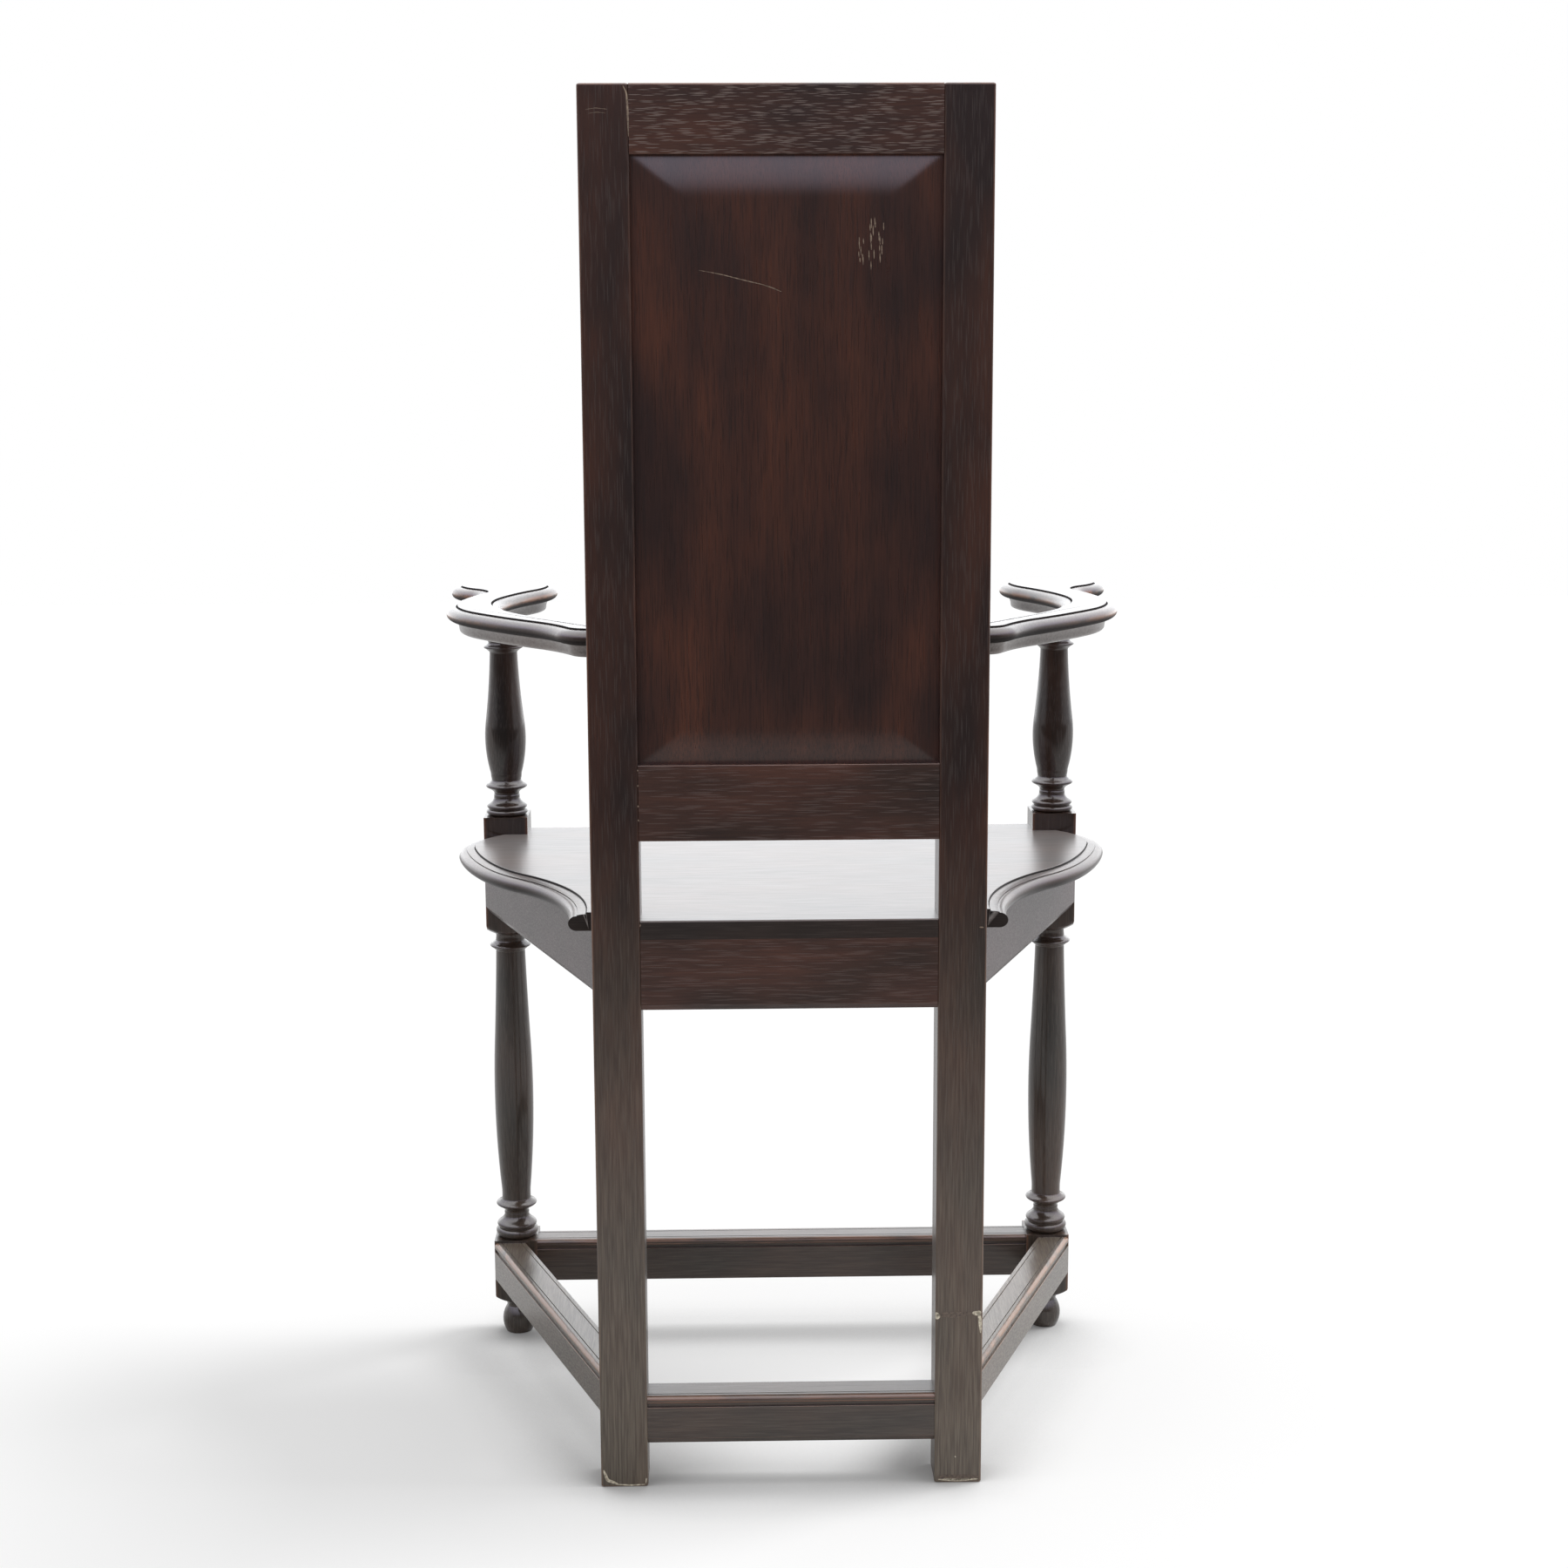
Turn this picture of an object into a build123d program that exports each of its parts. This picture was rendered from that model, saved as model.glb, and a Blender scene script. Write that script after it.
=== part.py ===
"""Joined oak armchair with a narrow panelled back and a wedge-shaped seat, in millimetres.

The chair is set out square, as on a joiner's bench: X runs to the sitter's left, Y to the rear
from the rear faces of the rear posts, and Z up from the height of the posts' feet. Depths are
measured forwards from those rear faces, so a depth d lies at Y = -d. At the end the whole chair is
leant back on its worn rear feet, its feet are trimmed flush with the floor, and the origin goes to
the middle of its footprint box, on the floor. The front of the chair faces -Y.
"""

import os
from build123d import *

# ---- Frame of the back -------------------------------------------------------------------------
POST = 38.0                   # square stock of the rear posts
POST_GAP = 232.0              # clear width between the posts
POST_HEIGHT = 1099.0
POST_ARRIS = 1.2              # width of the worn-off long edges of posts
BACK_RAIL = 25.0              # thickness of the rails of the back, flush with the posts' rear faces
CREST_HEIGHT = 50.6
LOWER_RAIL_BOTTOM = 533.0
LOWER_RAIL_HEIGHT = 59.5

# ---- Back panel --------------------------------------------------------------------------------
PANEL_THICKNESS = 14.0        # through the raised field
PANEL_TONGUE = 6.0            # thickness of the edge that is held in the grooves
PANEL_SETBACK = 3.0           # of the raised field behind the frame's rear face
GROOVE_DEPTH = 8.0
GROOVE_SLACK = 1.0            # room at the tongue's edge for the panel to move
SIDE_BEVEL = 19.0             # width of the soft bevel in view down each side
END_BEVEL = 26.0              # and along the top and bottom
BEVEL_FULLNESS = 0.75         # share of its rise that a bevel has gained half-way in

# ---- Seat --------------------------------------------------------------------------------------
SEAT_TOP = 470.0
SEAT_BOARD = 15.0
SEAT_RAIL_HEIGHT = 57.0
SEAT_RAIL = 26.0
SEAT_EAR = 20.0               # how far the board stands out past each post
SEAT_EAR_DEPTH = 32.0         # depth of the ear's square rear end
SEAT_FRONT_SETBACK = 2.5      # of the board's nose behind the front faces of the leg blocks
SEAT_SWELL = 35.5             # how far the board's widest point stands out past the leg's axis
SEAT_SWELL_REAR = 62.5        # and how far it lies behind the leg block
SEAT_HEADING = 91.0           # degrees from straight across, where the side sets off from the ear
# Where the side turns from one arc to the next, as shares of the way from the ear to the widest
# point, across and forwards
SEAT_SWEEP = [(0.14, 0.30), (0.48, 0.52), (0.77, 0.70)]

# ---- Front legs --------------------------------------------------------------------------------
LEG_X = 252.2                 # axis of each front leg from the middle of the chair
LEG_DEPTH = 370.6             # and from the rear faces of the posts
LEG_BLOCK = 40.0              # square stock left at the joints
BLOCK_ARRIS = 0.8
LOW_BLOCK = (24.0, 78.0)      # heights of the square block at the stretchers
SEAT_BLOCK_RISE = 15.5        # how far the seat block stands above the board
SEAT_BLOCK_DROP = 14.4        # and how far it hangs below the seat rails
SHOULDER = 10.6               # height of the turned shoulder under each block
SHOULDER_NECK = 26.0          # diameter at the bottom of a shoulder
SHOULDER_FULLNESS = 0.7       # how far it has widened half-way up
FOOT_BALL = 31.0
FOOT_NECK = 22.0
FOOT_HEIGHT = 28.0            # of the ball, before it is trimmed at the floor
NECK_RISE = 5.5

# Turned members, each one cut or more from the bottom up: (rise, diameter at its top) for a straight
# cut, with the diameter half-way up added for a rounded one
BASE_BEAD_LOW = [(18.4, 31.8, 38.4)]
BASE_BEAD_HIGH = [(12.0, 32.4, 37.4)]
HOLLOW = [(5.8, 23.0), (5.4, 23.0), (5.0, 27.0)]
RING = [(4.0, 36.2), (2.5, 36.2), (4.0, 27.0)]
NECKING = [(6.5, 26.6)]
UNDER_SHOULDER = [(7.0, 26.0)]
COLLAR = [(3.6, 35.4), (2.8, 35.4), (3.6, 28.0)]
COLLAR_HOLLOW = [(3.4, 25.4), (4.6, 25.4), (4.0, 28.0)]
CAP = [(5.0, 34.0), (3.0, 34.0), (6.0, 31.0)]
# A vase swells and then tapers to a neck, in cuts that share its height
LOWER_VASE = [(0.615, 34.0, 35.5), (0.385, 27.0, 30.0)]
UPPER_VASE = [(0.46, 34.6, 36.6), (0.54, 25.2, 28.6)]

# ---- Arms --------------------------------------------------------------------------------------
ARM_TOP = 695.0
ARM_BOARD = 13.0              # thickness of the round-nosed upper member
ARM_UNDER = 10.0              # thickness of the set-in lower member
ARM_SETBACK = 9.0             # of the lower member from the nose
ARM_UNDER_ROUND = 3.5         # taken off the lower member's bottom edge
ARM_EAR_DEPTH = 22.0          # where the arm's ear ends, beside the post
ARM_OVERHANG = 21.0           # how far the arm stands out past the post's front corner
ARM_WIDTH = 41.0              # across the arm there
ARM_HEADING = 2.5             # degrees from straight across, where the ear's edge leaves the post
# Where each serpentine edge turns from one arc to the next, as shares of the way from the arm's
# outer rear corner to the leg's axis, across and forwards
ARM_OUTER = [(0.052, 0.003), (0.41, 0.13), (1.12, 0.34), (1.43, 0.565)]
ARM_INNER = [(0.79, 0.72), (0.79, 0.525), (0.38, 0.30), (-0.07, 0.16)]
# The same for the waist and the fishtail end, outwards and forwards from the leg's axis, from the
# outer edge round to the inner one
ARM_END = [(19.5, -52.0), (28.0, -16.5), (46.5, 14.5), (40.0, 49.0), (-4.5, 69.5), (-39.5, 49.0),
           (-49.0, 10.5), (-39.5, -25.5)]

# ---- Stretchers --------------------------------------------------------------------------------
STRETCHER_BOTTOM = 36.0
STRETCHER_HEIGHT = 40.0
STRETCHER = 28.0              # thickness
REAR_STRETCHER_SETBACK = 1.5

# ---- Mouldings on the rails --------------------------------------------------------------------
BEAD = 4.0                    # diameter of the small bead worked on an edge
QUIRK = 2.4                   # width of the sunk groove beside the bead
LINE = 1.2                    # width and depth of a single incised line

NOSE = 0.45                   # radius of a board's round nose, as a share of its thickness
# Cuts of the passes that plane a nose, as shares of its radius: all the flats touch the round
NOSE_CUTS = (0.586, 0.215)

# ---- Joints ------------------------------------------------------------------------------------
SIDE_RAIL_INSET = 4.0         # of the side rails' outer faces from the posts' outer faces
SIDE_RAIL = 27.5              # thickness of side rails and side stretchers
TENON = 9.0                   # thickness of every rail tenon
TENON_SHOULDER = 4.0          # bare wood left above and below a tenon
CREST_HAUNCH = 12.0           # wood left above the crest rail's tenon
REAR_TENON_SETBACK = 8.0      # of the tenons between the posts from the rear faces
REAR_TENON = 26.0             # length of the tenons between the posts
FRONT_TENON_SETBACK = 9.0     # of the tenons between the legs from the legs' front faces
FRONT_TENON = 26.0
SIDE_TENON = 17.0             # length of the side rails' tenons
SIDE_TENON_SETBACK = 13.0     # of their middle from the post's outer face
LEG_TENON = 19.0              # diameter of the round tenon that enters the arm
LEG_TENON_LENGTH = 17.0
ARM_TENON = (14.0, 15.0, 20.0)  # width, height and length of the tenon that enters the post
PEG = 7.0                     # across its corners
PEG_SIDES = 8
PEG_CLEARANCE = 0.1           # between a peg, or a round tenon, and its hole
PEG_SET = 9.0                 # from the shoulder of a joint to the middle of its pegs
PEG_BLIND = 5.0               # wood left beyond a blind peg
PEG_SPACING = 0.5             # distance between two pegs, as a share of their tenon's height
PEG_PROUD = 0.6               # how far a peg's head stands out of the wood

# ---- Stance ------------------------------------------------------------------------------------
LEAN = 2.9                    # degrees, the whole chair leans back on its rear feet
FOOT_ALLOWANCE = 30.0         # length of leg left below the bench line to be trimmed at the floor

POST_IN = POST_GAP / 2
POST_OUT = POST_IN + POST
LEG_BACK = LEG_DEPTH - LEG_BLOCK / 2
LEG_FRONT = LEG_DEPTH + LEG_BLOCK / 2
LEG_IN = LEG_X - LEG_BLOCK / 2
LEG_OUT = LEG_X + LEG_BLOCK / 2
SEAT_RAIL_TOP = SEAT_TOP - SEAT_BOARD
SEAT_RAIL_BOTTOM = SEAT_RAIL_TOP - SEAT_RAIL_HEIGHT
SEAT_BLOCK = (SEAT_RAIL_BOTTOM - SEAT_BLOCK_DROP, SEAT_TOP + SEAT_BLOCK_RISE)
CREST_BOTTOM = POST_HEIGHT - CREST_HEIGHT
LOWER_RAIL_TOP = LOWER_RAIL_BOTTOM + LOWER_RAIL_HEIGHT
ARM_BOTTOM = ARM_TOP - ARM_BOARD - ARM_UNDER


def block(x, depth, z):
    """Box between the low and high values of x, of depth and of z."""
    size = (x[1] - x[0], depth[1] - depth[0], z[1] - z[0])
    return Pos(sum(x) / 2, -sum(depth) / 2, sum(z) / 2) * Box(*size)


def prism(plan, z):
    """Upright solid between two heights over a plan given as (x, depth) corners."""
    outline = Polyline(*[(x, -depth) for x, depth in plan], close=True)
    return Pos(0, 0, z[0]) * extrude(make_face(outline), z[1] - z[0])


def both_sides(name, left):
    """The left-hand piece and its mirror image, under their names."""
    return {f"{name}_left": left, f"{name}_right": mirror(left, Plane.YZ)}


# ---- Rails and stretchers ----------------------------------------------------------------------

def moulded_section(thickness, height, top_bead=False, bottom_bead=False, line=None):
    """Cross-section of a rail as (distance in from its show face, height) with a bead and a quirk
    worked along the upper or lower edge of that face, or a line incised at a given height."""
    round_ = BEAD / 2
    edges = []
    corner = (0, 0)
    if bottom_bead:
        start = (round_, 0)
        edges.append(ThreePointArc(start, (0, round_), (round_, BEAD)))
        edges.append(Polyline((round_, BEAD), (round_, BEAD + LINE), (0, BEAD + LINE)))
        corner = (0, BEAD + LINE)
    else:
        start = corner
    if line:
        path = [corner, (0, line), (LINE, line + LINE / 2), (0, line + LINE)]
        edges.append(Polyline(*path))
        corner = path[-1]
    if top_bead:
        foot = height - BEAD
        edges.append(Polyline(corner, (0, foot - QUIRK), (round_, foot - QUIRK), (round_, foot)))
        edges.append(ThreePointArc((round_, foot), (0, height - round_), (round_, height)))
        corner = (round_, height)
    else:
        edges.append(Line(corner, (0, height)))
        corner = (0, height)
    edges.append(Polyline(corner, (thickness, height), (thickness, 0), start))
    return make_face(edges)


def cross_bar(section, half_length, face, bottom, faces_rear):
    """Bar of the given section across the chair, its show face at the given depth."""
    inward = -1 if faces_rear else 1
    end = Plane(origin=(-half_length, -face, bottom), x_dir=(0, inward, 0), z_dir=(inward, 0, 0))
    return extrude(end * section, inward * 2 * half_length)


def cross_tenons(half_length, length, depth, z):
    """Pair of tenons at the ends of a bar that lies across the chair."""
    return block((-half_length - length, half_length + length), (depth, depth + TENON), z)


def between(z, height, low=TENON_SHOULDER, high=TENON_SHOULDER):
    """Heights of a tenon that leaves the given wood below and above it."""
    return (z + low, z + height - high)


def panel_groove():
    """The space that the panel's tongue runs in, cut from the rails and posts round it."""
    rear = PANEL_SETBACK + PANEL_THICKNESS - PANEL_TONGUE
    room = GROOVE_DEPTH
    return block((-POST_IN - room, POST_IN + room), (rear, rear + PANEL_TONGUE),
                 (LOWER_RAIL_TOP - room, CREST_BOTTOM + room))


def crest_rail():
    """Top rail of the back, level with the tops of the posts, its front lower edge beaded."""
    section = moulded_section(BACK_RAIL, CREST_HEIGHT, bottom_bead=True)
    rail = cross_bar(section, POST_IN, BACK_RAIL, CREST_BOTTOM, faces_rear=False)
    tenon = between(CREST_BOTTOM, CREST_HEIGHT, GROOVE_DEPTH, CREST_HAUNCH)
    rail += cross_tenons(POST_IN, REAR_TENON, REAR_TENON_SETBACK, tenon)
    return rail - panel_groove()


def lower_back_rail():
    """Bottom rail of the back frame, its front upper edge beaded."""
    section = moulded_section(BACK_RAIL, LOWER_RAIL_HEIGHT, top_bead=True)
    rail = cross_bar(section, POST_IN, BACK_RAIL, LOWER_RAIL_BOTTOM, faces_rear=False)
    tenon = between(LOWER_RAIL_BOTTOM, LOWER_RAIL_HEIGHT, high=GROOVE_DEPTH)
    rail += cross_tenons(POST_IN, REAR_TENON, REAR_TENON_SETBACK, tenon)
    return rail - panel_groove()


def rear_seat_rail():
    """Rail under the seat between the posts, lined near its lower edge."""
    section = moulded_section(BACK_RAIL, SEAT_RAIL_HEIGHT, line=BEAD + LINE)
    rail = cross_bar(section, POST_IN, 0, SEAT_RAIL_BOTTOM, faces_rear=True)
    tenon = between(SEAT_RAIL_BOTTOM, SEAT_RAIL_HEIGHT)
    return rail + cross_tenons(POST_IN, REAR_TENON, REAR_TENON_SETBACK, tenon)


def front_seat_rail():
    """Rail under the seat between the leg blocks, its front lower edge beaded."""
    section = moulded_section(SEAT_RAIL, SEAT_RAIL_HEIGHT, bottom_bead=True)
    face = LEG_FRONT - SEAT_FRONT_SETBACK - SEAT_BOARD * NOSE / 2
    rail = cross_bar(section, LEG_IN, face, SEAT_RAIL_BOTTOM, faces_rear=False)
    tenon = between(SEAT_RAIL_BOTTOM, SEAT_RAIL_HEIGHT)
    depth = LEG_FRONT - FRONT_TENON_SETBACK - TENON
    return rail + cross_tenons(LEG_IN, FRONT_TENON, depth, tenon)


def rear_stretcher():
    """Stretcher between the feet of the posts, beaded along its rear upper edge."""
    section = moulded_section(STRETCHER, STRETCHER_HEIGHT, top_bead=True, line=BEAD + LINE)
    bar = cross_bar(section, POST_IN, REAR_STRETCHER_SETBACK, STRETCHER_BOTTOM, faces_rear=True)
    tenon = between(STRETCHER_BOTTOM, STRETCHER_HEIGHT)
    return bar + cross_tenons(POST_IN, REAR_TENON, REAR_TENON_SETBACK, tenon)


def front_stretcher():
    """Stretcher between the blocks of the front legs, beaded along its front upper edge."""
    section = moulded_section(STRETCHER, STRETCHER_HEIGHT, top_bead=True)
    face = LEG_DEPTH + STRETCHER / 2
    bar = cross_bar(section, LEG_IN, face, STRETCHER_BOTTOM, faces_rear=False)
    tenon = between(STRETCHER_BOTTOM, STRETCHER_HEIGHT)
    depth = LEG_FRONT - FRONT_TENON_SETBACK - TENON
    return bar + cross_tenons(LEG_IN, FRONT_TENON, depth, tenon)


# Side rails and side stretchers splay outwards from the posts to the front legs
SIDE_START = Vector(POST_OUT - SIDE_RAIL_INSET, -POST)
SIDE_END = Vector(LEG_OUT, -LEG_BACK)
SIDE_ALONG = (SIDE_END - SIDE_START).normalized()
SIDE_INWARD = Vector(SIDE_ALONG.Y, -SIDE_ALONG.X)
SPLAY = SIDE_ALONG.X / -SIDE_ALONG.Y          # sideways travel for each unit of depth


def splayed_bar(section, bottom, height):
    """Left-hand bar of the given section from the post to the leg block, with a tenon at each end.

    The bar is cut off square to the chair at both shoulders. Its tenons run on in its own
    direction: the rear one near the post's outer face, the front one in the middle of the block."""
    run_out = 2 * SIDE_RAIL
    start = SIDE_START - SIDE_ALONG * run_out
    length = (SIDE_END - SIDE_START).length + 2 * run_out
    end_plane = Plane(origin=(start.X, start.Y, bottom), x_dir=SIDE_INWARD, z_dir=-SIDE_ALONG)
    bar = extrude(end_plane * section, -length)
    bar &= block((0, LEG_OUT + LEG_BLOCK), (POST, LEG_BACK), (bottom, bottom + height))
    tenon = between(bottom, height)
    bar += splayed_tenon(POST_OUT - SIDE_TENON_SETBACK, POST, -SIDE_TENON, tenon)
    return bar + splayed_tenon(LEG_X, LEG_BACK, SIDE_TENON, tenon)


def splayed_tenon(x, depth, length, z):
    """Tenon that leaves a shoulder at the given x and depth and runs in the splayed direction."""
    half = TENON / 2 * (SIDE_END - SIDE_START).length / (LEG_BACK - POST)
    tip = x + SPLAY * length
    plan = [(x - half, depth), (x + half, depth), (tip + half, depth + length), (tip - half, depth + length)]
    return prism(plan, z)


def side_seat_rail():
    section = moulded_section(SIDE_RAIL, SEAT_RAIL_HEIGHT, line=BEAD + LINE)
    return splayed_bar(section, SEAT_RAIL_BOTTOM, SEAT_RAIL_HEIGHT)


def side_stretcher():
    section = moulded_section(SIDE_RAIL, STRETCHER_HEIGHT, top_bead=True, line=BEAD + LINE)
    return splayed_bar(section, STRETCHER_BOTTOM, STRETCHER_HEIGHT)


# ---- Back panel --------------------------------------------------------------------------------

def cushion_section(half_width, bevel):
    """Half-turned section of the panel: a tongue, a hollow-free bevel that rises in one long arc,
    and a flat field, as (distance from the middle, height above the front face)."""
    edge = half_width + GROOVE_DEPTH - GROOVE_SLACK
    sight = half_width
    field = half_width - bevel
    mid = (sight + field) / 2
    crown = PANEL_TONGUE + (PANEL_THICKNESS - PANEL_TONGUE) * BEVEL_FULLNESS
    left = [(-edge, 0), (-edge, PANEL_TONGUE), (-sight, PANEL_TONGUE)]
    right = [(sight, PANEL_TONGUE), (edge, PANEL_TONGUE), (edge, 0)]
    outline = [
        Polyline(*left),
        ThreePointArc(left[-1], (-mid, crown), (-field, PANEL_THICKNESS)),
        Line((-field, PANEL_THICKNESS), (field, PANEL_THICKNESS)),
        ThreePointArc((field, PANEL_THICKNESS), (mid, crown), right[0]),
        Polyline(*right, left[0]),
    ]
    return make_face(outline)


def back_panel():
    """Fielded panel, flat in front and cushion-shaped behind. Its bevels meet in mitred corners
    because the solid is what two sections, one along the width and one along the height, share."""
    front = -(PANEL_SETBACK + PANEL_THICKNESS)
    half_height = (CREST_BOTTOM - LOWER_RAIL_TOP) / 2
    middle = (CREST_BOTTOM + LOWER_RAIL_TOP) / 2
    reach = half_height + POST_IN
    level = Plane(origin=(0, front, middle - reach), x_dir=(1, 0, 0), z_dir=(0, 0, 1))
    upright = Plane(origin=(reach, front, middle), x_dir=(0, 0, 1), z_dir=(-1, 0, 0))
    wide = extrude(level * cushion_section(POST_IN, SIDE_BEVEL), 2 * reach)
    tall = extrude(upright * cushion_section(half_height, END_BEVEL), 2 * reach)
    return wide & tall


# ---- Rear posts --------------------------------------------------------------------------------

def rear_post():
    """Left rear post, before its mortises are cut: square oak, grooved for the panel."""
    post = block((POST_IN, POST_OUT), (0, POST), (-FOOT_ALLOWANCE, POST_HEIGHT))
    post = chamfer(post.edges().filter_by(Axis.Z), POST_ARRIS)
    return post - panel_groove()


# ---- Front legs --------------------------------------------------------------------------------

def lathe(z, diameter, members):
    """Solid turned about Z, from a height and a diameter up through its members' cuts. A cut with
    a diameter half-way up is an arc through it."""
    edges = []
    foot = (diameter / 2, z)
    low = foot
    for rise, end, *half_way in members:
        high = (end / 2, low[1] + rise)
        if half_way:
            edges.append(ThreePointArc(low, (half_way[0] / 2, low[1] + rise / 2), high))
        else:
            edges.append(Line(low, high))
        low = high
    edges.append(Polyline(low, (0, low[1]), (0, z), foot))
    return revolve(Plane.XZ * make_face(edges), Axis.Z)


def leg_block(bottom, top):
    """Square block on a turned shoulder: the stock's corners are turned away under the block."""
    square = Pos(0, 0, (bottom - SHOULDER + top) / 2) * Box(LEG_BLOCK, LEG_BLOCK, top - bottom + SHOULDER)
    square = chamfer(square.edges().filter_by(Axis.Z), BLOCK_ARRIS)
    corner = LEG_BLOCK * 2 ** 0.5
    half_way = SHOULDER_NECK + (corner - SHOULDER_NECK) * SHOULDER_FULLNESS
    members = [(SHOULDER / 2, half_way), (SHOULDER / 2, corner), (top - bottom, corner)]
    return square & lathe(bottom - SHOULDER, SHOULDER_NECK, members)


def with_vase(below, shape, above, span):
    """The members of a turned shaft, with a vase that takes up what they leave of its span."""
    height = span - sum(rise for rise, *_ in below + above)
    return below + [(share * height, *diameters) for share, *diameters in shape] + above


def front_leg():
    """Left front leg before its mortises are cut, turned and squared from one length of oak, from
    its ball foot to the tenon that enters the arm."""
    low, high = LOW_BLOCK, SEAT_BLOCK
    ankle = low[0] - SHOULDER - NECK_RISE
    foot = lathe(ankle - FOOT_HEIGHT, FOOT_NECK,
                 [(FOOT_HEIGHT, FOOT_NECK, FOOT_BALL), (NECK_RISE, SHOULDER_NECK)])
    sole = lathe(-FOOT_ALLOWANCE, FOOT_NECK, [(FOOT_ALLOWANCE + ankle - FOOT_HEIGHT, FOOT_NECK)])
    lower = with_vase(BASE_BEAD_LOW + HOLLOW + RING + NECKING, LOWER_VASE, RING + UNDER_SHOULDER,
                      high[0] - SHOULDER - low[1])
    upper = with_vase(BASE_BEAD_HIGH + HOLLOW + RING + NECKING, UPPER_VASE,
                      COLLAR + COLLAR_HOLLOW + CAP, ARM_BOTTOM - high[1])
    tenon = Pos(0, 0, ARM_BOTTOM + LEG_TENON_LENGTH / 2) * Cylinder(LEG_TENON / 2, LEG_TENON_LENGTH)
    leg = sole + foot + leg_block(*low) + lathe(low[1], BASE_BEAD_LOW[0][1], lower)
    leg += leg_block(*high) + lathe(high[1], BASE_BEAD_HIGH[0][1], upper) + tenon
    return Pos(LEG_X, -LEG_DEPTH, 0) * leg


# ---- Seat board --------------------------------------------------------------------------------

def sweep(start, end, shares):
    """Points at the given shares of the way from start to end, across and forwards."""
    return [(start[0] + (end[0] - start[0]) * across, start[1] + (end[1] - start[1]) * forwards)
            for across, forwards in shares]


def serpentine(points, heading):
    """Line of arcs through (x, depth) points, each arc tangent to the one before. The first sets
    off at the given angle from straight across to straight forwards."""
    through = [Vector(x, -depth) for x, depth in points]
    along = Vector(1, 0).rotate(Axis.Z, -heading)
    arcs = []
    for start, end in zip(through, through[1:]):
        arcs.append(TangentArc(start, end, tangent=along))
        along = arcs[-1].tangent_at(1)
    return arcs


def nosed(plan, thickness):
    """Board of the given plan with its serpentine edges and its straight front one planed round:
    each pass of flat cuts takes off the corners that the last one left."""
    board = extrude(plan, thickness)
    radius = thickness * NOSE
    front = board.bounding_box().min.Y
    for share in NOSE_CUTS:
        curved = board.edges().filter_by(GeomType.CIRCLE)
        straight = board.edges().filter_by(Axis.X).filter_by_position(Axis.Y, front, front + radius)
        board = chamfer(curved + straight, radius * share)
    return board


def seat_plan():
    """Left half of the board's plan: round the post and the ear beside it, along the serpentine
    side, and round the leg block."""
    front = LEG_FRONT - SEAT_FRONT_SETBACK
    ear = (POST_OUT + SEAT_EAR, SEAT_EAR_DEPTH)
    widest = (LEG_X + SEAT_SWELL, LEG_BACK - SEAT_SWELL_REAR)
    side = serpentine([ear, *sweep(ear, widest, SEAT_SWEEP), widest, (LEG_OUT, LEG_BACK)], SEAT_HEADING)
    behind = Polyline((0, 0), (POST_IN, 0), (POST_IN, -POST), (POST_OUT, -POST),
                      (POST_OUT, -ear[1]), (ear[0], -ear[1]))
    before = Polyline((LEG_OUT, -LEG_BACK), (LEG_IN, -LEG_BACK), (LEG_IN, -front), (0, -front), (0, 0))
    return make_face([behind, *side, before])


def seat_board():
    """Board with a rounded nose along its sides and front."""
    half = nosed(seat_plan(), SEAT_BOARD)
    return Pos(0, 0, SEAT_RAIL_TOP) * (half + mirror(half, Plane.YZ))


# ---- Arms --------------------------------------------------------------------------------------

def arm_plan():
    """Plan of the left arm: out from beside the post, round the fishtail end and back to the post's
    front face, which it is notched to fit."""
    rear, leg = (POST_OUT + ARM_OVERHANG, POST), (LEG_X, LEG_DEPTH)
    outer, inner = sweep(rear, leg, ARM_OUTER), sweep(rear, leg, ARM_INNER)
    end = [(leg[0] + out, leg[1] + forwards) for out, forwards in ARM_END]
    corner = (rear[0] - ARM_WIDTH, POST)
    edge = serpentine([(POST_OUT, ARM_EAR_DEPTH), *outer, *end, *inner, corner], ARM_HEADING)
    return make_face([*edge, Polyline(edge[-1] @ 1, (POST_OUT, -POST), edge[0] @ 0)])


def arm():
    """Left arm: a round-nosed upper member over a set-in lower one, both fitted round the post, and
    a square tenon into the post's front face."""
    upper = Pos(0, 0, ARM_TOP - ARM_BOARD) * nosed(arm_plan(), ARM_BOARD)

    behind = Rectangle(ARM_WIDTH - ARM_OVERHANG, POST - ARM_EAR_DEPTH, align=(Align.MAX, Align.MIN))
    whole = arm_plan() + Pos(POST_OUT, -POST) * behind
    lower = extrude(offset(whole, -ARM_SETBACK), ARM_UNDER)
    lower = Pos(0, 0, ARM_BOTTOM) * lower - block((0, POST_OUT), (0, POST), (ARM_BOTTOM, ARM_TOP))
    swept = lower.faces().sort_by(Axis.Z)[0].edges().filter_by(GeomType.CIRCLE)
    lower = chamfer(swept, ARM_UNDER_ROUND)

    wide, high, long = ARM_TENON
    x = POST_OUT + (ARM_OVERHANG - ARM_WIDTH) / 2
    z = ARM_BOTTOM + TENON_SHOULDER
    tenon = block((x - wide / 2, x + wide / 2), (POST - long, POST), (z, z + high))
    return upper + lower + tenon


# ---- Pegs --------------------------------------------------------------------------------------

class Peg:
    """A riven eight-sided peg, driven from a face along a direction into a hole that it fills."""

    def __init__(self, x, depth, z, direction, length):
        self.seat = Plane(origin=(x, -depth, z), z_dir=direction)
        self.length = length

    def wood(self):
        head = self.seat.offset(-PEG_PROUD)
        return head * extrude(RegularPolygon(PEG / 2, PEG_SIDES), self.length + PEG_PROUD)

    def hole(self):
        return self.seat * extrude(RegularPolygon(PEG / 2 + PEG_CLEARANCE, PEG_SIDES), self.length)


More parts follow.
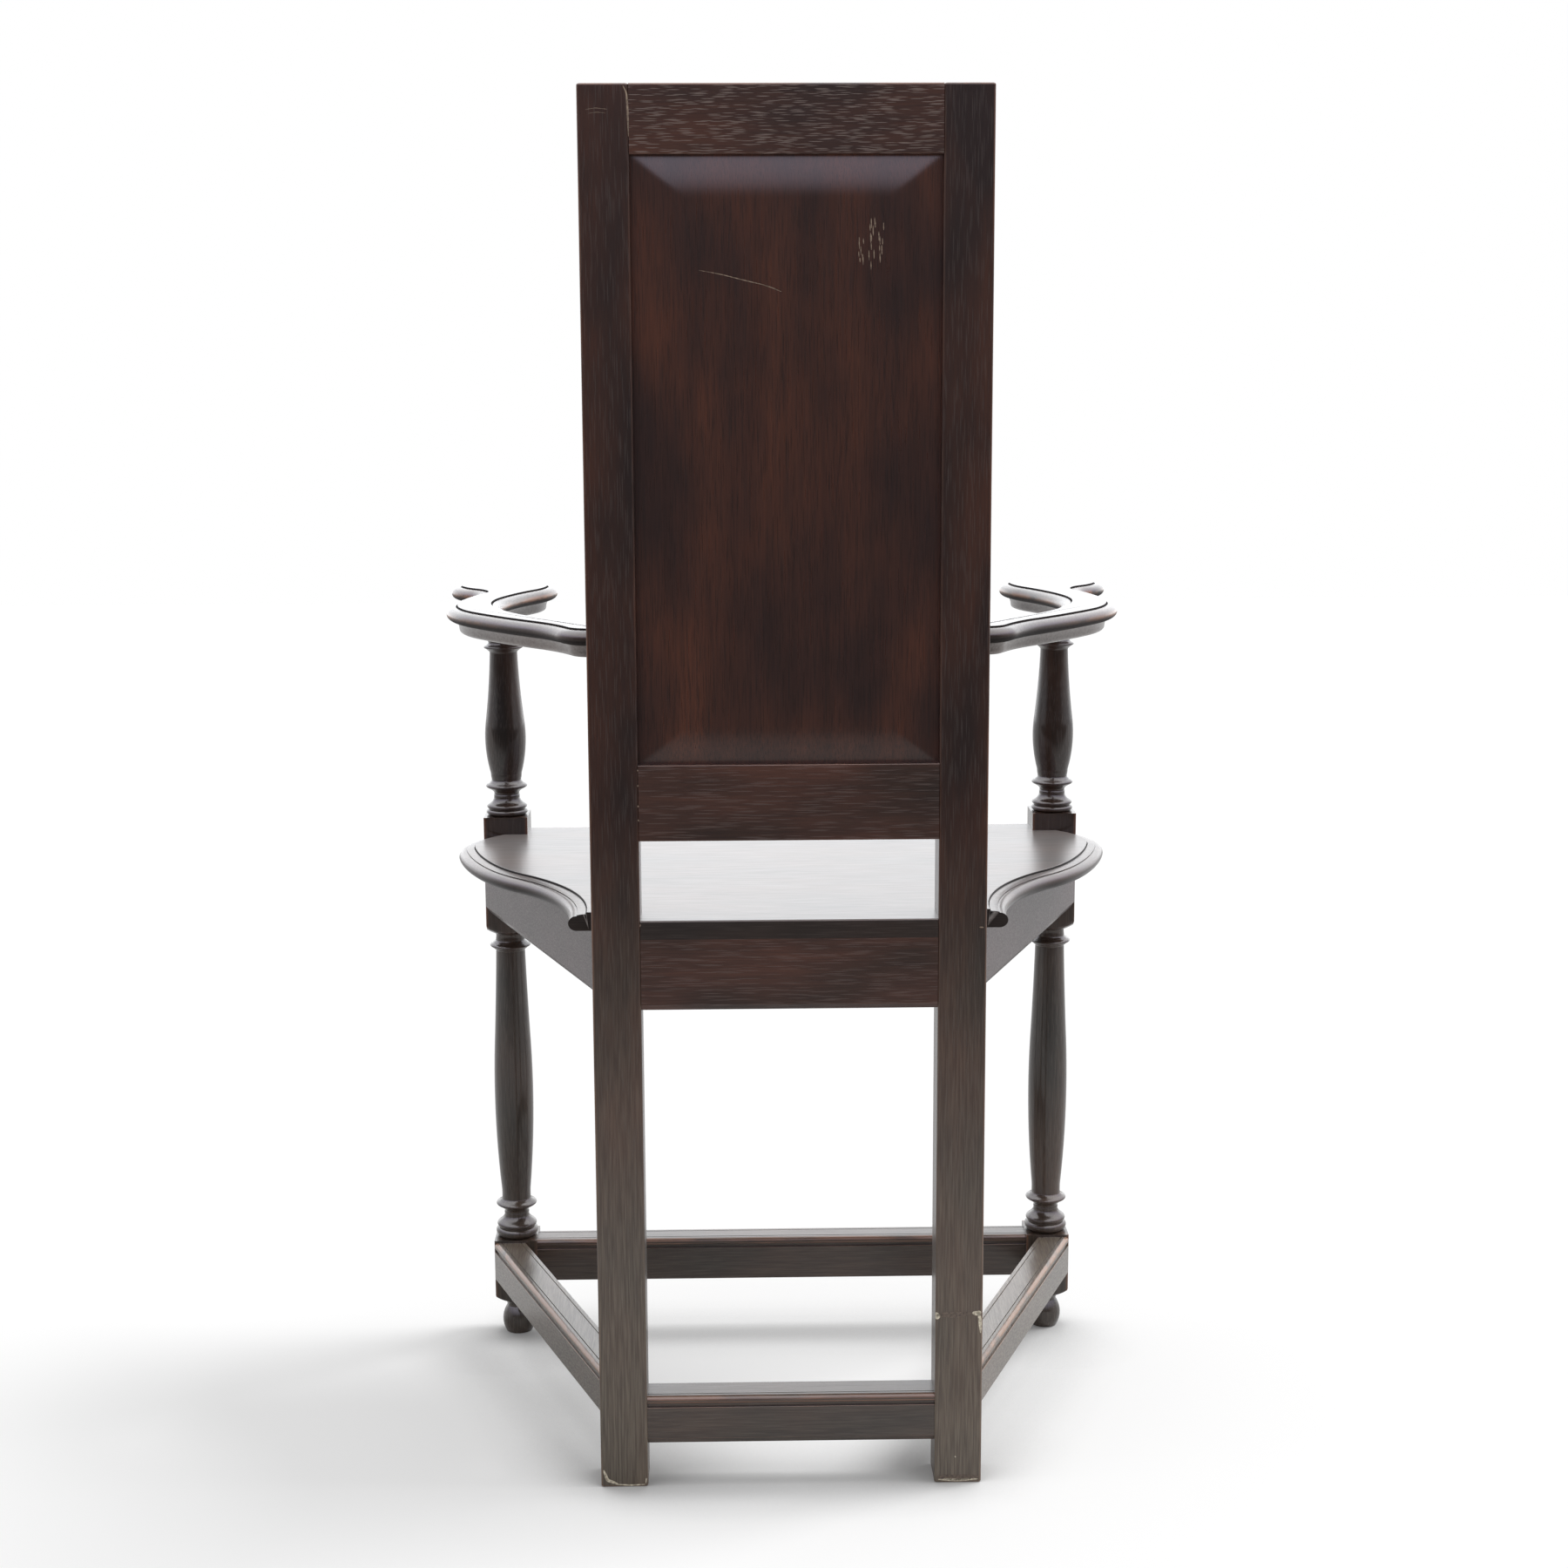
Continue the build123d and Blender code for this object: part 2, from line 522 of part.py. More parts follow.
def heights(tenon, count):
    """Heights of one or two pegs through a tenon between the given heights."""
    middle = sum(tenon) / 2
    gap = (tenon[1] - tenon[0]) * PEG_SPACING
    return [middle] if count == 1 else [middle - gap / 2, middle + gap / 2]


def left_pegs():
    """The pegs of the left half of the chair, in groups of like joints."""
    crest = between(CREST_BOTTOM, CREST_HEIGHT, GROOVE_DEPTH, CREST_HAUNCH)
    lower = between(LOWER_RAIL_BOTTOM, LOWER_RAIL_HEIGHT, high=GROOVE_DEPTH)
    seat = heights(between(SEAT_RAIL_BOTTOM, SEAT_RAIL_HEIGHT), 2)
    foot = heights(between(STRETCHER_BOTTOM, STRETCHER_HEIGHT), 1)
    arm_z = ARM_BOTTOM + TENON_SHOULDER + ARM_TENON[1] / 2

    def into_post_front(z):
        return Peg(POST_IN + PEG_SET, POST, z, (0, 1, 0), POST - PEG_BLIND)

    def into_post_side(z):
        return Peg(POST_OUT, POST - PEG_SET, z, (-1, 0, 0), POST - PEG_BLIND)

    def into_post_inside(z):
        return Peg(POST_IN, POST - PEG_SET, z, (1, 0, 0), POST - PEG_BLIND)

    def into_leg_side(z):
        return Peg(LEG_OUT, LEG_BACK + PEG_SET, z, (-1, 0, 0), LEG_BLOCK - PEG_BLIND)

    def into_leg_front(z):
        return Peg(LEG_IN + PEG_SET, LEG_FRONT, z, (0, 1, 0), FRONT_TENON_SETBACK + TENON + PEG_BLIND)

    return {
        "pegs_back_frame": [into_post_front(z) for z in heights(crest, 2) + heights(lower, 2)],
        "pegs_side_rails": [place(z) for place in (into_post_side, into_leg_side) for z in seat],
        "pegs_front_rail": [into_leg_front(z) for z in seat],
        "pegs_side_stretchers": [place(z) for place in (into_post_side, into_leg_side) for z in foot],
        "pegs_front_stretcher": [into_leg_front(z) for z in foot],
        "pegs_arms": [into_post_inside(arm_z)],
    }


# ---- The chair ---------------------------------------------------------------------------------

def cut(host, *pieces):
    """The host with a mortise for whatever of each piece enters it."""
    for piece in pieces:
        host -= piece
    return host


def bench_chair():
    """Every piece by name, square on the bench, with its joints cut."""
    cross = {
        "crest_rail": crest_rail(),
        "lower_back_rail": lower_back_rail(),
        "rear_seat_rail": rear_seat_rail(),
        "front_seat_rail": front_seat_rail(),
        "rear_stretcher": rear_stretcher(),
        "front_stretcher": front_stretcher(),
    }
    left_rail, left_stretcher, left_arm = side_seat_rail(), side_stretcher(), arm()
    pegs = left_pegs()
    holes = {group: [peg.hole() for peg in row] for group, row in pegs.items()}
    all_holes = [hole for row in holes.values() for hole in row]

    post = cut(rear_post(), *[cross[name] for name in ("crest_rail", "lower_back_rail", "rear_seat_rail",
                                                       "rear_stretcher")])
    post = cut(post, left_rail, left_stretcher, left_arm, *all_holes)
    leg = cut(front_leg(), cross["front_seat_rail"], cross["front_stretcher"], left_rail, left_stretcher)
    leg = cut(leg, *all_holes)
    leg_seat = Plane(origin=(LEG_X, -LEG_DEPTH, ARM_BOTTOM))
    leg_hole = leg_seat * extrude(Circle(LEG_TENON / 2 + PEG_CLEARANCE), LEG_TENON_LENGTH)

    pieces = {"back_panel": back_panel(), "seat_board": seat_board()}
    for name, bar in cross.items():
        both = [side for hole in all_holes for side in (hole, mirror(hole, Plane.YZ))]
        pieces[name] = cut(bar, *both)
    pieces |= both_sides("rear_post", post)
    pieces |= both_sides("front_leg", leg)
    pieces |= both_sides("side_seat_rail", cut(left_rail, *holes["pegs_side_rails"]))
    pieces |= both_sides("side_stretcher", cut(left_stretcher, *holes["pegs_side_stretchers"]))
    pieces |= both_sides("arm", cut(left_arm, leg_hole, *holes["pegs_arms"]))
    for group, row in pegs.items():
        wood = [peg.wood() for peg in row]
        pieces[group] = Compound(children=wood + [mirror(peg, Plane.YZ) for peg in wood])
    return pieces


def stand(pieces):
    """The chair leant back, trimmed at the floor and moved to its origin."""
    stood = {}
    for name, piece in pieces.items():
        leant = Rot(-LEAN, 0, 0) * piece
        if leant.bounding_box().min.Z < 0:
            leant = split(leant, bisect_by=Plane.XY, keep=Keep.TOP)
        stood[name] = leant
    boxes = [piece.bounding_box() for piece in stood.values()]
    rear = max(box.max.Y for box in boxes)
    front = min(box.min.Y for box in boxes)
    return {name: Pos(0, -(rear + front) / 2, 0) * piece for name, piece in stood.items()}


os.makedirs("parts", exist_ok=True)
for node, solid in stand(bench_chair()).items():
    solid.label = node
    export_step(solid, f"parts/{node}.step")
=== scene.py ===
"""Joined oak armchair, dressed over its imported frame: turned legs, moulded arms and seat, cushion panel.

Lengths are metres. Each piece is worked out square on the bench, as (x, depth, height): x runs to the
sitter's left, depth forwards from the rear faces of the rear posts, and height up from their feet.
stand() then leans it back and sets it on the floor.
"""

import bmesh
import bpy
import numpy as np
from math import pi, radians
from mathutils import Matrix, Vector


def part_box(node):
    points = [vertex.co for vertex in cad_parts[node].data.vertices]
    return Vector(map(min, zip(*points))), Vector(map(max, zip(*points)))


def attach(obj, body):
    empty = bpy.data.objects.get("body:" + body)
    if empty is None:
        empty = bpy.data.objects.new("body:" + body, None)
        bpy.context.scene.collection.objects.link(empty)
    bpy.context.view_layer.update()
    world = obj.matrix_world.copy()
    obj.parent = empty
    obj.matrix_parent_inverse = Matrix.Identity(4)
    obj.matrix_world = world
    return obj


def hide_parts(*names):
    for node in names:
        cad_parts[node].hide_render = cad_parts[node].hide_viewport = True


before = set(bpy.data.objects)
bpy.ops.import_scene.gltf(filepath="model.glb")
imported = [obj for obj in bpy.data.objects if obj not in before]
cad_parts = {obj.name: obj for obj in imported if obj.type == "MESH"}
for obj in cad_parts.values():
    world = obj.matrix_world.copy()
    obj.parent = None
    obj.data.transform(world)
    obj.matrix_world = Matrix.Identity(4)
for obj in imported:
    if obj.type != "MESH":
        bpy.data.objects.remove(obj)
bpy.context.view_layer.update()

# ---- Rear posts --------------------------------------------------------------------------------
# Two square oak posts, sawn and planed from straight-grained stock. Long use has rounded their
# arrises and worn them to the red-brown of the wood; the feet are scuffed and painted pale with floor
# light.

LEAN = radians(2.9)
POST = 0.038
POST_IN = 0.116
POST_OUT = POST_IN + POST
POST_HEIGHT = 1.099
POST_ARRIS = 0.0016
POST_END_ROUND = 0.0016
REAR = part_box("rear_post_left")[1][1] - POST_HEIGHT * np.sin(LEAN)     # world Y of depth 0 at height 0
CRISP = radians(32)            # faces that meet at more than this keep a crisp edge


def stand(points):
    """Bench (x, depth, height) to world: turned about X by the lean, moved to the frame's place, and
    kept from sinking below the floor."""
    x, depth, height = np.moveaxis(np.asarray(points, float), -1, 0)
    y = height * np.sin(LEAN) - depth * np.cos(LEAN) + REAR
    z = height * np.cos(LEAN) + depth * np.sin(LEAN)
    return np.stack([x, y, np.maximum(z, 0)], -1)


def outline(corners, steps=6):
    """Closed line of straight runs whose corners (a, b, radius, wear) are rounded by arcs. An arc
    starts and ends at radius / tan(half the corner's angle) from its corner. Returns the points and
    the wear of each, which is greatest in the middle of an arc."""
    flat = np.array([corner[:2] for corner in corners], float)
    points = []
    wears = []
    for n, (_, _, radius, wear) in enumerate(corners):
        corner = flat[n]
        back = flat[n - 1] - corner
        ahead = flat[(n + 1) % len(flat)] - corner
        back, ahead = back / np.hypot(*back), ahead / np.hypot(*ahead)
        half = np.arccos(np.clip(back @ ahead, -1, 1)) / 2
        if radius == 0:
            points.append(corner[None])
            wears.append([wear])
            continue
        middle = corner + (back + ahead) / np.hypot(*(back + ahead)) * radius / np.sin(half)
        start = corner + back * radius / np.tan(half) - middle
        turn = (pi - 2 * half) * np.sign(ahead[0] * back[1] - ahead[1] * back[0])
        angle = np.linspace(0, turn, steps)[:, None]
        points.append(middle + start * np.cos(angle) + np.array([-start[1], start[0]]) * np.sin(angle))
        wears.append(wear * np.sin(np.linspace(0, pi, steps)) ** 0.5)
    return np.concatenate(points), np.concatenate(wears)


def skin(rows, wear=0.0):
    """Closed surface of quads between successive rows of points, each a loop round the piece, with
    an n-gon on the first and last rows. Returns (points, faces, wear of each point)."""
    count, around = rows.shape[:2]
    index = np.arange(count * around).reshape(count, around)
    beside = np.roll(index, -1, 1)
    faces = np.stack([index[:-1], beside[:-1], beside[1:], index[1:]], -1).reshape(-1, 4).tolist()
    faces += [index[0][::-1].tolist(), index[-1].tolist()]
    return rows.reshape(-1, 3), faces, np.broadcast_to(wear, (count, around)).ravel()


def make(name, *skins, mirrored=False):
    """Object of one or more skins in bench coordinates, stood up, with its faces turned outwards.
    wear goes into a vertex attribute that the finishes read. Flats keep their own shading right up to
    the rounded arrises beside them."""
    points = np.concatenate([skin_points for skin_points, _, _ in skins])
    if mirrored:
        points = points * (-1, 1, 1)
    wear = np.concatenate([skin_wear for _, _, skin_wear in skins]).astype(np.float32)
    faces = []
    start = 0
    for skin_points, skin_faces, _ in skins:
        faces += [[start + corner for corner in face] for face in skin_faces]
        start += len(skin_points)
    mesh = bpy.data.meshes.new(name)
    mesh.from_pydata(stand(points).tolist(), [], faces)
    mesh.attributes.new("wear", "FLOAT", "POINT").data.foreach_set("value", wear)
    shell = bmesh.new()
    shell.from_mesh(mesh)
    bmesh.ops.recalc_face_normals(shell, faces=shell.faces)
    shell.to_mesh(mesh)
    shell.free()
    mesh.shade_smooth()
    mesh.set_sharp_from_angle(angle=CRISP)
    piece = bpy.data.objects.new(name, mesh)
    bpy.context.scene.collection.objects.link(piece)
    flats = piece.modifiers.new("flats", "WEIGHTED_NORMAL")
    flats.keep_sharp = True
    return piece


def fit(piece, material, slot, *nodes):
    """Gives a piece its finish, rides it on the chair and puts it in place of its CAD nodes."""
    piece.data.materials.append(material)
    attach(piece, "root")
    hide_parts(*nodes)


def colour(code):
    """Linear RGBA of an sRGB hex value."""
    srgb = np.array([int(code[n:n + 2], 16) for n in (1, 3, 5)]) / 255
    return (*np.where(srgb <= 0.04045, srgb / 12.92, ((srgb + 0.055) / 1.055) ** 2.4), 1.0)


def add(tree, kind, inputs=(), **settings):
    """New node with its settings. inputs gives sockets, by name or number, a value, an output or a
    node, which stands for its first output in use."""
    made = tree.nodes.new(kind)
    for key, value in settings.items():
        setattr(made, key, value)
    for socket, value in dict(inputs).items():
        if isinstance(value, bpy.types.Node):
            value = next(output for output in value.outputs if output.enabled)
        if isinstance(value, bpy.types.NodeSocket):
            tree.links.new(value, made.inputs[socket])
        else:
            made.inputs[socket].default_value = value
    return made


def fumed_oak(name, turn, dark, light, pore="#4e4541", pore_share=0.3, pore_gap=0.0010, pore_run=0.030,
              worn="#6b4632", roughness=0.42, coat=0.6, gloss=0.2, bumpy=0.3, scuff_and_floor_light=0.0, film=0.0,
              dull_shaded_under=None):
    """Oak darkened by fumes and stain under rubbed wax. turn is the rotation that brings the grain to
    the local Z. Its colours lie in layers: broad patches from a cool dark to a warm light, bands and
    fine lines along the grain, and open pores that hold wax, one to a Voronoi cell of pore_gap by
    pore_run. They are drawn about twice as wide as real ones, which would be too fine to show. Where
    wear is above 0 the wood shows, and below 0 dust lies, and past -1 it marks a quirk for painted
    shade. scuff_and_floor_light is how much scuffs and painted light from the floor grey the wood near
    it, and film a thin haze of dry polish. dull_shaded_under is how far up, as the Z of its normal, a
    face has to look to keep all its wax and its own colour; below that, and in a quirk, the wood is
    dull and darkened with painted shade."""
    material = bpy.data.materials.new(name)
    material.use_nodes = True
    tree = material.node_tree
    tree.nodes.clear()
    coordinates = add(tree, "ShaderNodeTexCoord").outputs
    turned = add(tree, "ShaderNodeMapping", {"Vector": coordinates["Object"], "Rotation": turn})

    def grain(across, along, detail, offset):
        """Noise whose features are across by along, in metres."""
        stretch = (1 / across, 1 / across, 1 / along)
        scaled = add(tree, "ShaderNodeMapping", {"Vector": turned, "Scale": stretch, "Location": offset})
        return add(tree, "ShaderNodeTexNoise", {"Vector": scaled, "Scale": 1.0, "Detail": detail})

    patches = add(tree, "ShaderNodeMapRange", {"Value": grain(0.050, 0.13, 2, (3.1, 7.7, 1.3)),
                                               "From Min": 0.32, "From Max": 0.68})
    bands = add(tree, "ShaderNodeMapRange", {"Value": grain(0.007, 0.25, 2, (6.4, 5.2, 2.8)),
                                             "From Min": 0.35, "From Max": 0.70, "To Max": 0.2})
    streaks = grain(0.0014, 0.04, 3, (1.7, 0.4, 9.2))
    lines = add(tree, "ShaderNodeMapRange", {"Value": streaks, "From Min": 0.35, "From Max": 0.65,
                                             "To Max": 0.3})
    cell = (1 / pore_gap, 1 / pore_gap, 1 / pore_run)
    cells = add(tree, "ShaderNodeMapping", {"Vector": turned, "Scale": cell})
    pores = add(tree, "ShaderNodeMapRange", {
        "Value": add(tree, "ShaderNodeTexVoronoi", {"Vector": cells, "Scale": 1.0}),
        "From Min": 0.38, "From Max": 0.24})
    filled = add(tree, "ShaderNodeMath", {0: pores, 1: pore_share}, operation="MULTIPLY")
    wear = add(tree, "ShaderNodeAttribute", attribute_name="wear").outputs["Fac"]
    uneven = add(tree, "ShaderNodeMapRange", {"Value": grain(0.010, 0.07, 3, (8.8, 1.1, 6.6)),
                                              "From Min": 0.32, "From Max": 0.56})
    rubbed = add(tree, "ShaderNodeMath", {0: wear, 1: uneven}, operation="MULTIPLY")
    specks = add(tree, "ShaderNodeMapRange", {"Value": grain(0.0022, 0.004, 2, (2.2, 5.1, 7.4)),
                                              "From Min": 0.3, "From Max": 0.7,
                                              "To Min": -0.5, "To Max": -1.0})
    dust = add(tree, "ShaderNodeMath", {0: wear, 1: specks}, operation="MULTIPLY")
    height = add(tree, "ShaderNodeSeparateXYZ", {"Vector": coordinates["Object"]}).outputs["Z"]
    # Near the floor the wood turns greyer: scuffs, and painted light bounced up from the floor
    low = add(tree, "ShaderNodeMapRange", {"Value": height, "From Min": 0.55, "From Max": 0.05,
                                           "To Max": scuff_and_floor_light})
    ridges = add(tree, "ShaderNodeMapRange", {"Value": streaks, "From Min": 0.35, "From Max": 0.6,
                                              "To Min": 1.0, "To Max": 0.5})
    scuffed_and_floor_lit = add(tree, "ShaderNodeMath", {0: low, 1: ridges}, operation="MULTIPLY")
    wood = colour(dark)
    for share, code in ((patches, light), (bands, "#1b1110"), (lines, "#120c0b"), (filled, pore),
                        (rubbed, worn), (dust, "#8c8683"), (scuffed_and_floor_lit, "#867d6e")):
        wood = add(tree, "ShaderNodeMix", {"Factor": share, 6: wood, 7: colour(code)}, data_type="RGBA")
    rough = add(tree, "ShaderNodeMapRange", {"Value": streaks, "From Min": 0.3, "From Max": 0.7,
                                             "To Min": roughness - 0.05, "To Max": roughness + 0.07})
    # Faces that look down, and the quirks, are darkened with painted shade and lose their wax
    if dull_shaded_under is not None:
        facing = add(tree, "ShaderNodeSeparateXYZ", {"Vector": coordinates["Normal"]}).outputs["Z"]
        facing_wax_and_light = add(tree, "ShaderNodeMapRange", {"Value": facing, "From Min": dull_shaded_under - 0.85,
                                                 "From Max": dull_shaded_under, "To Min": 0.1})
        dusted = add(tree, "ShaderNodeMapRange", {"Value": wear, "From Min": 0.0, "From Max": -0.3})
        wax_or_light_reached = add(tree, "ShaderNodeMath", {0: facing_wax_and_light, 1: dusted}, operation="MAXIMUM")
        outside_quirk_shade = add(tree, "ShaderNodeMapRange", {"Value": wear, "From Min": -1.6, "From Max": -1.0})
        waxed_and_unshaded = add(tree, "ShaderNodeMath", {0: wax_or_light_reached, 1: outside_quirk_shade}, operation="MULTIPLY")
        wood = add(tree, "ShaderNodeMix", {"Factor": waxed_and_unshaded, 6: colour("#15100e"), 7: wood},
                   data_type="RGBA")
        bare = add(tree, "ShaderNodeMapRange", {"Value": waxed_and_unshaded, "From Min": 1.0, "From Max": 0.3,
                                                "To Max": 0.5})
        rough = add(tree, "ShaderNodeMath", {0: rough, 1: bare}, operation="ADD")
        coat = add(tree, "ShaderNodeMath", {0: waxed_and_unshaded, 1: coat}, operation="MULTIPLY")
    relief = add(tree, "ShaderNodeMath", {0: streaks, 1: pores}, operation="SUBTRACT")
    bump = add(tree, "ShaderNodeBump", {"Height": relief, "Strength": bumpy, "Distance": 0.0003})
    shader = add(tree, "ShaderNodeBsdfPrincipled", {
        "Base Color": wood, "Roughness": rough, "IOR": 1.5, "Specular IOR Level": 0.3,
        "Coat Weight": coat, "Coat Roughness": gloss, "Sheen Weight": film, "Sheen Roughness": 0.4,
        "Normal": bump})
    add(tree, "ShaderNodeOutputMaterial", {"Surface": shader})
    return material


ALONG_UPRIGHT = (LEAN, 0.0, 0.0)
ALONG_ACROSS = (0.0, pi / 2, 0.0)
# Straight-grained oak, planed and waxed: satin near-black, red-brown patches; scuffed and painted grey with
# floor light at the feet
post_oak = fumed_oak("fumed_oak_posts", ALONG_UPRIGHT, "#281b18", "#46281d", scuff_and_floor_light=0.5)


def on_floor(depth):
    """Bench height of the floor at a depth: the line where stand() gives 0."""
    return -np.asarray(depth) * np.tan(LEAN)


def post():
    """The square outline carried up the post. At each end a quarter-round draws it in."""
    middle = np.array([(POST_IN + POST_OUT) / 2, POST / 2])
    corners = [(POST_IN, 0, POST_ARRIS, 0.2), (POST_OUT, 0, POST_ARRIS, 0.6),
               (POST_OUT, POST, POST_ARRIS, 0.6), (POST_IN, POST, POST_ARRIS, 0.2)]
    square, wear = outline(corners)
    angle = np.linspace(0, pi / 2, 6)
    drawn = POST_END_ROUND * (1 - np.sin(angle))[:, None, None] / (POST / 2)
    rise = POST_END_ROUND * (1 - np.cos(angle))[:, None]
    ring = middle + (square - middle) * (1 - drawn)
    foot = np.dstack([ring, on_floor(ring[..., 1]) + rise])
    top = np.dstack([ring, POST_HEIGHT - np.broadcast_to(rise, ring.shape[:2])])[::-1]
    ends = np.sin(2 * angle)[:, None]
    wears = np.concatenate([np.maximum(wear, ends), np.maximum(wear, ends[::-1])])
    return skin(np.concatenate([foot, top]), wears)


for side, mirrored in (("left", False), ("right", True)):
    fit(make(f"rear_post_{side}_worn", post(), mirrored=mirrored), post_oak, "dark_oak",
        f"rear_post_{side}")

# ---- Rails of the back -------------------------------------------------------------------------
# Crest rail and lower rail tenoned between the posts, planed flush with them behind. Their grain
# runs across, with open pores that hold pale wax, and the crest's top arris is worn brown.

BACK_RAIL = 0.025
CREST_BOTTOM = 1.0484
LOWER_RAIL = (0.533, 0.5925)
BEAD = 0.004
QUIRK = 0.0012
ARRIS = 0.0008


def cross_bar(corners, half_length):
    """Outline given as (depth, height) corners, carried straight across the chair."""
    section, wear = outline(corners)
    ends = [np.column_stack([np.full(len(section), x), section]) for x in (-half_length, half_length)]
    return skin(np.array(ends), wear)


def bead_corners(depth, height, inwards, upwards):
    """Corners of a small bead and its sunk quirk at a bar's outer corner. inwards and upwards are
    1 or -1, from that corner into the bar."""
    return [(depth, height, BEAD / 2, 0.5),
            (depth, height + upwards * BEAD, BEAD / 2, 0.5),
            (depth + inwards * BEAD / 2, height + upwards * BEAD, 0, 0),
            (depth + inwards * BEAD / 2, height + upwards * (BEAD + QUIRK), 0, 0),
            (depth, height + upwards * (BEAD + QUIRK), 0, 0)]


# Coarser oak with open pores: pale wax in them speckles the dark faces along the grain
rail_oak = fumed_oak("fumed_oak_rails", ALONG_ACROSS, "#33251f", "#523228", pore="#6a5c57", pore_share=0.25,
                     pore_gap=0.0011)
crest_oak = fumed_oak("fumed_oak_crest", ALONG_ACROSS, "#30221e", "#4e2e22", pore="#84766f", pore_share=0.5,
                      pore_gap=0.0008, pore_run=0.016)
crest = [(0, CREST_BOTTOM, ARRIS, 0.2), (0, POST_HEIGHT, POST_END_ROUND, 1.0),
         (BACK_RAIL, POST_HEIGHT, POST_END_ROUND, 1.0), *bead_corners(BACK_RAIL, CREST_BOTTOM, -1, 1)[::-1]]
fit(make("crest_rail_worn", cross_bar(crest, POST_IN)), crest_oak, "dark_oak", "crest_rail")
lower = [(0, LOWER_RAIL[0], ARRIS, 0.3), (0, LOWER_RAIL[1], ARRIS, 0.6),
         *bead_corners(BACK_RAIL, LOWER_RAIL[1], -1, -1), (BACK_RAIL, LOWER_RAIL[0], ARRIS, 0.3)]
fit(make("lower_back_rail_worn", cross_bar(lower, POST_IN)), rail_oak, "dark_oak", "lower_back_rail")

# ---- Back panel --------------------------------------------------------------------------------
# One wide board with upright grain, held loose in grooves. Its back is planed to a soft cushion:
# four bevels that rise in long curves, meet in mitres and die into a flat field.

PANEL_FRONT = 0.017
PANEL_TONGUE = 0.0122
PANEL_RISE = 0.0045
PANEL_SIDE_BEVEL = 0.040
PANEL_END_BEVEL = 0.032
PANEL_IN_GROOVE = 0.006
PANEL_FIELD = PANEL_FRONT - PANEL_TONGUE - PANEL_RISE


def panel():
    """Depth over an (x, height) grid: the tongue's rear face less the rise times (4 t - t to the
    fourth) / 3, where t is the way across the nearer bevel, from 0 at the frame to 1 at the field."""
    steps = np.linspace(0, 1, 15)
    half = np.array([POST_IN, (CREST_BOTTOM - LOWER_RAIL[1]) / 2])
    bevel = (PANEL_SIDE_BEVEL, PANEL_END_BEVEL)
    lines = []
    for reach, width in zip(half, bevel):
        side = np.concatenate([[reach + PANEL_IN_GROOVE], reach - width * steps])
        field = np.linspace(width - reach, reach - width, 9)[1:-1]
        lines.append(np.concatenate([-side, field, side[::-1]]))
    x, rise = np.meshgrid(*lines)
    share = [np.clip((reach - np.abs(line)) / width, 0, 1)
             for reach, width, line in zip(half, bevel, (x, rise))]
    across = np.minimum(*share)
    depth = PANEL_FRONT - PANEL_TONGUE - PANEL_RISE * (4 * across - across ** 4) / 3
    height = rise + (CREST_BOTTOM + LOWER_RAIL[1]) / 2
    back = np.dstack([x, depth, height])
    front = back[:, [-1, 0]] * (1, 0, 1) + (0, PANEL_FRONT, 0)
    return skin(np.concatenate([back, front], 1))


# A quiet board, scraped smooth and waxed most of all: its bevels mirror the room in soft bands
panel_oak = fumed_oak("fumed_oak_panel", ALONG_UPRIGHT, "#33211e", "#502d21", pore="#1d1412",
                      pore_share=0.5, roughness=0.32, coat=1.0, gloss=0.2, bumpy=0.15)
fit(make("back_panel_cushion", panel()), panel_oak, "panel_oak", "back_panel")

# ---- Seat rails --------------------------------------------------------------------------------
# Four rails under the board, tenoned into the posts and the leg blocks. The side ones splay out to
# the front. The lower edges of the rear and side rails are eased by a steep bevel.

SEAT_TOP = 0.470
SEAT_UNDER = 0.455
RAIL_BOTTOM = 0.398
SEAT_RAIL = 0.026
SIDE_RAIL = 0.0275
SIDE_RAIL_INSET = 0.004
LEG_X = 0.2522
LEG_DEPTH = 0.3706
LEG_BLOCK = 0.040
LEG_BACK = LEG_DEPTH - LEG_BLOCK / 2
LEG_FRONT = LEG_DEPTH + LEG_BLOCK / 2
LEG_IN = LEG_X - LEG_BLOCK / 2
LEG_OUT = LEG_X + LEG_BLOCK / 2
SEAT_FRONT_SETBACK = 0.0025    # of the board's front edge behind the fronts of the leg blocks
SEAT_FRONT = LEG_FRONT - SEAT_FRONT_SETBACK
FRONT_RAIL_SETBACK = 0.0034    # of the front rail behind the board's front edge
EASED = (0.0028, 0.0046)       # width and height of the bevel along a lower edge
SPLAY = (LEG_OUT - POST_OUT + SIDE_RAIL_INSET) / (LEG_BACK - POST)     # sideways travel per depth


def eased(face, height, inwards):
    """Corners of a bar's lower edge, cut back by a steep bevel under a worn arris, from the bottom."""
    return [(face + inwards * EASED[0], height, 0, 0), (face, height + EASED[1], ARRIS / 2, 1.0)]


def splayed_bar(corners):
    """Outline given as (distance in from the outer face, height) corners, carried from the post to
    the leg block. Both ends are cut square to the chair."""
    section, wear = outline(corners)
    ends = []
    for depth in (POST, LEG_BACK):
        x = LEG_OUT - (LEG_BACK - depth) * SPLAY - section[:, 0] * np.hypot(1, SPLAY)
        ends.append(np.column_stack([x, np.full(len(section), depth), section[:, 1]]))
    return skin(np.array(ends), wear)


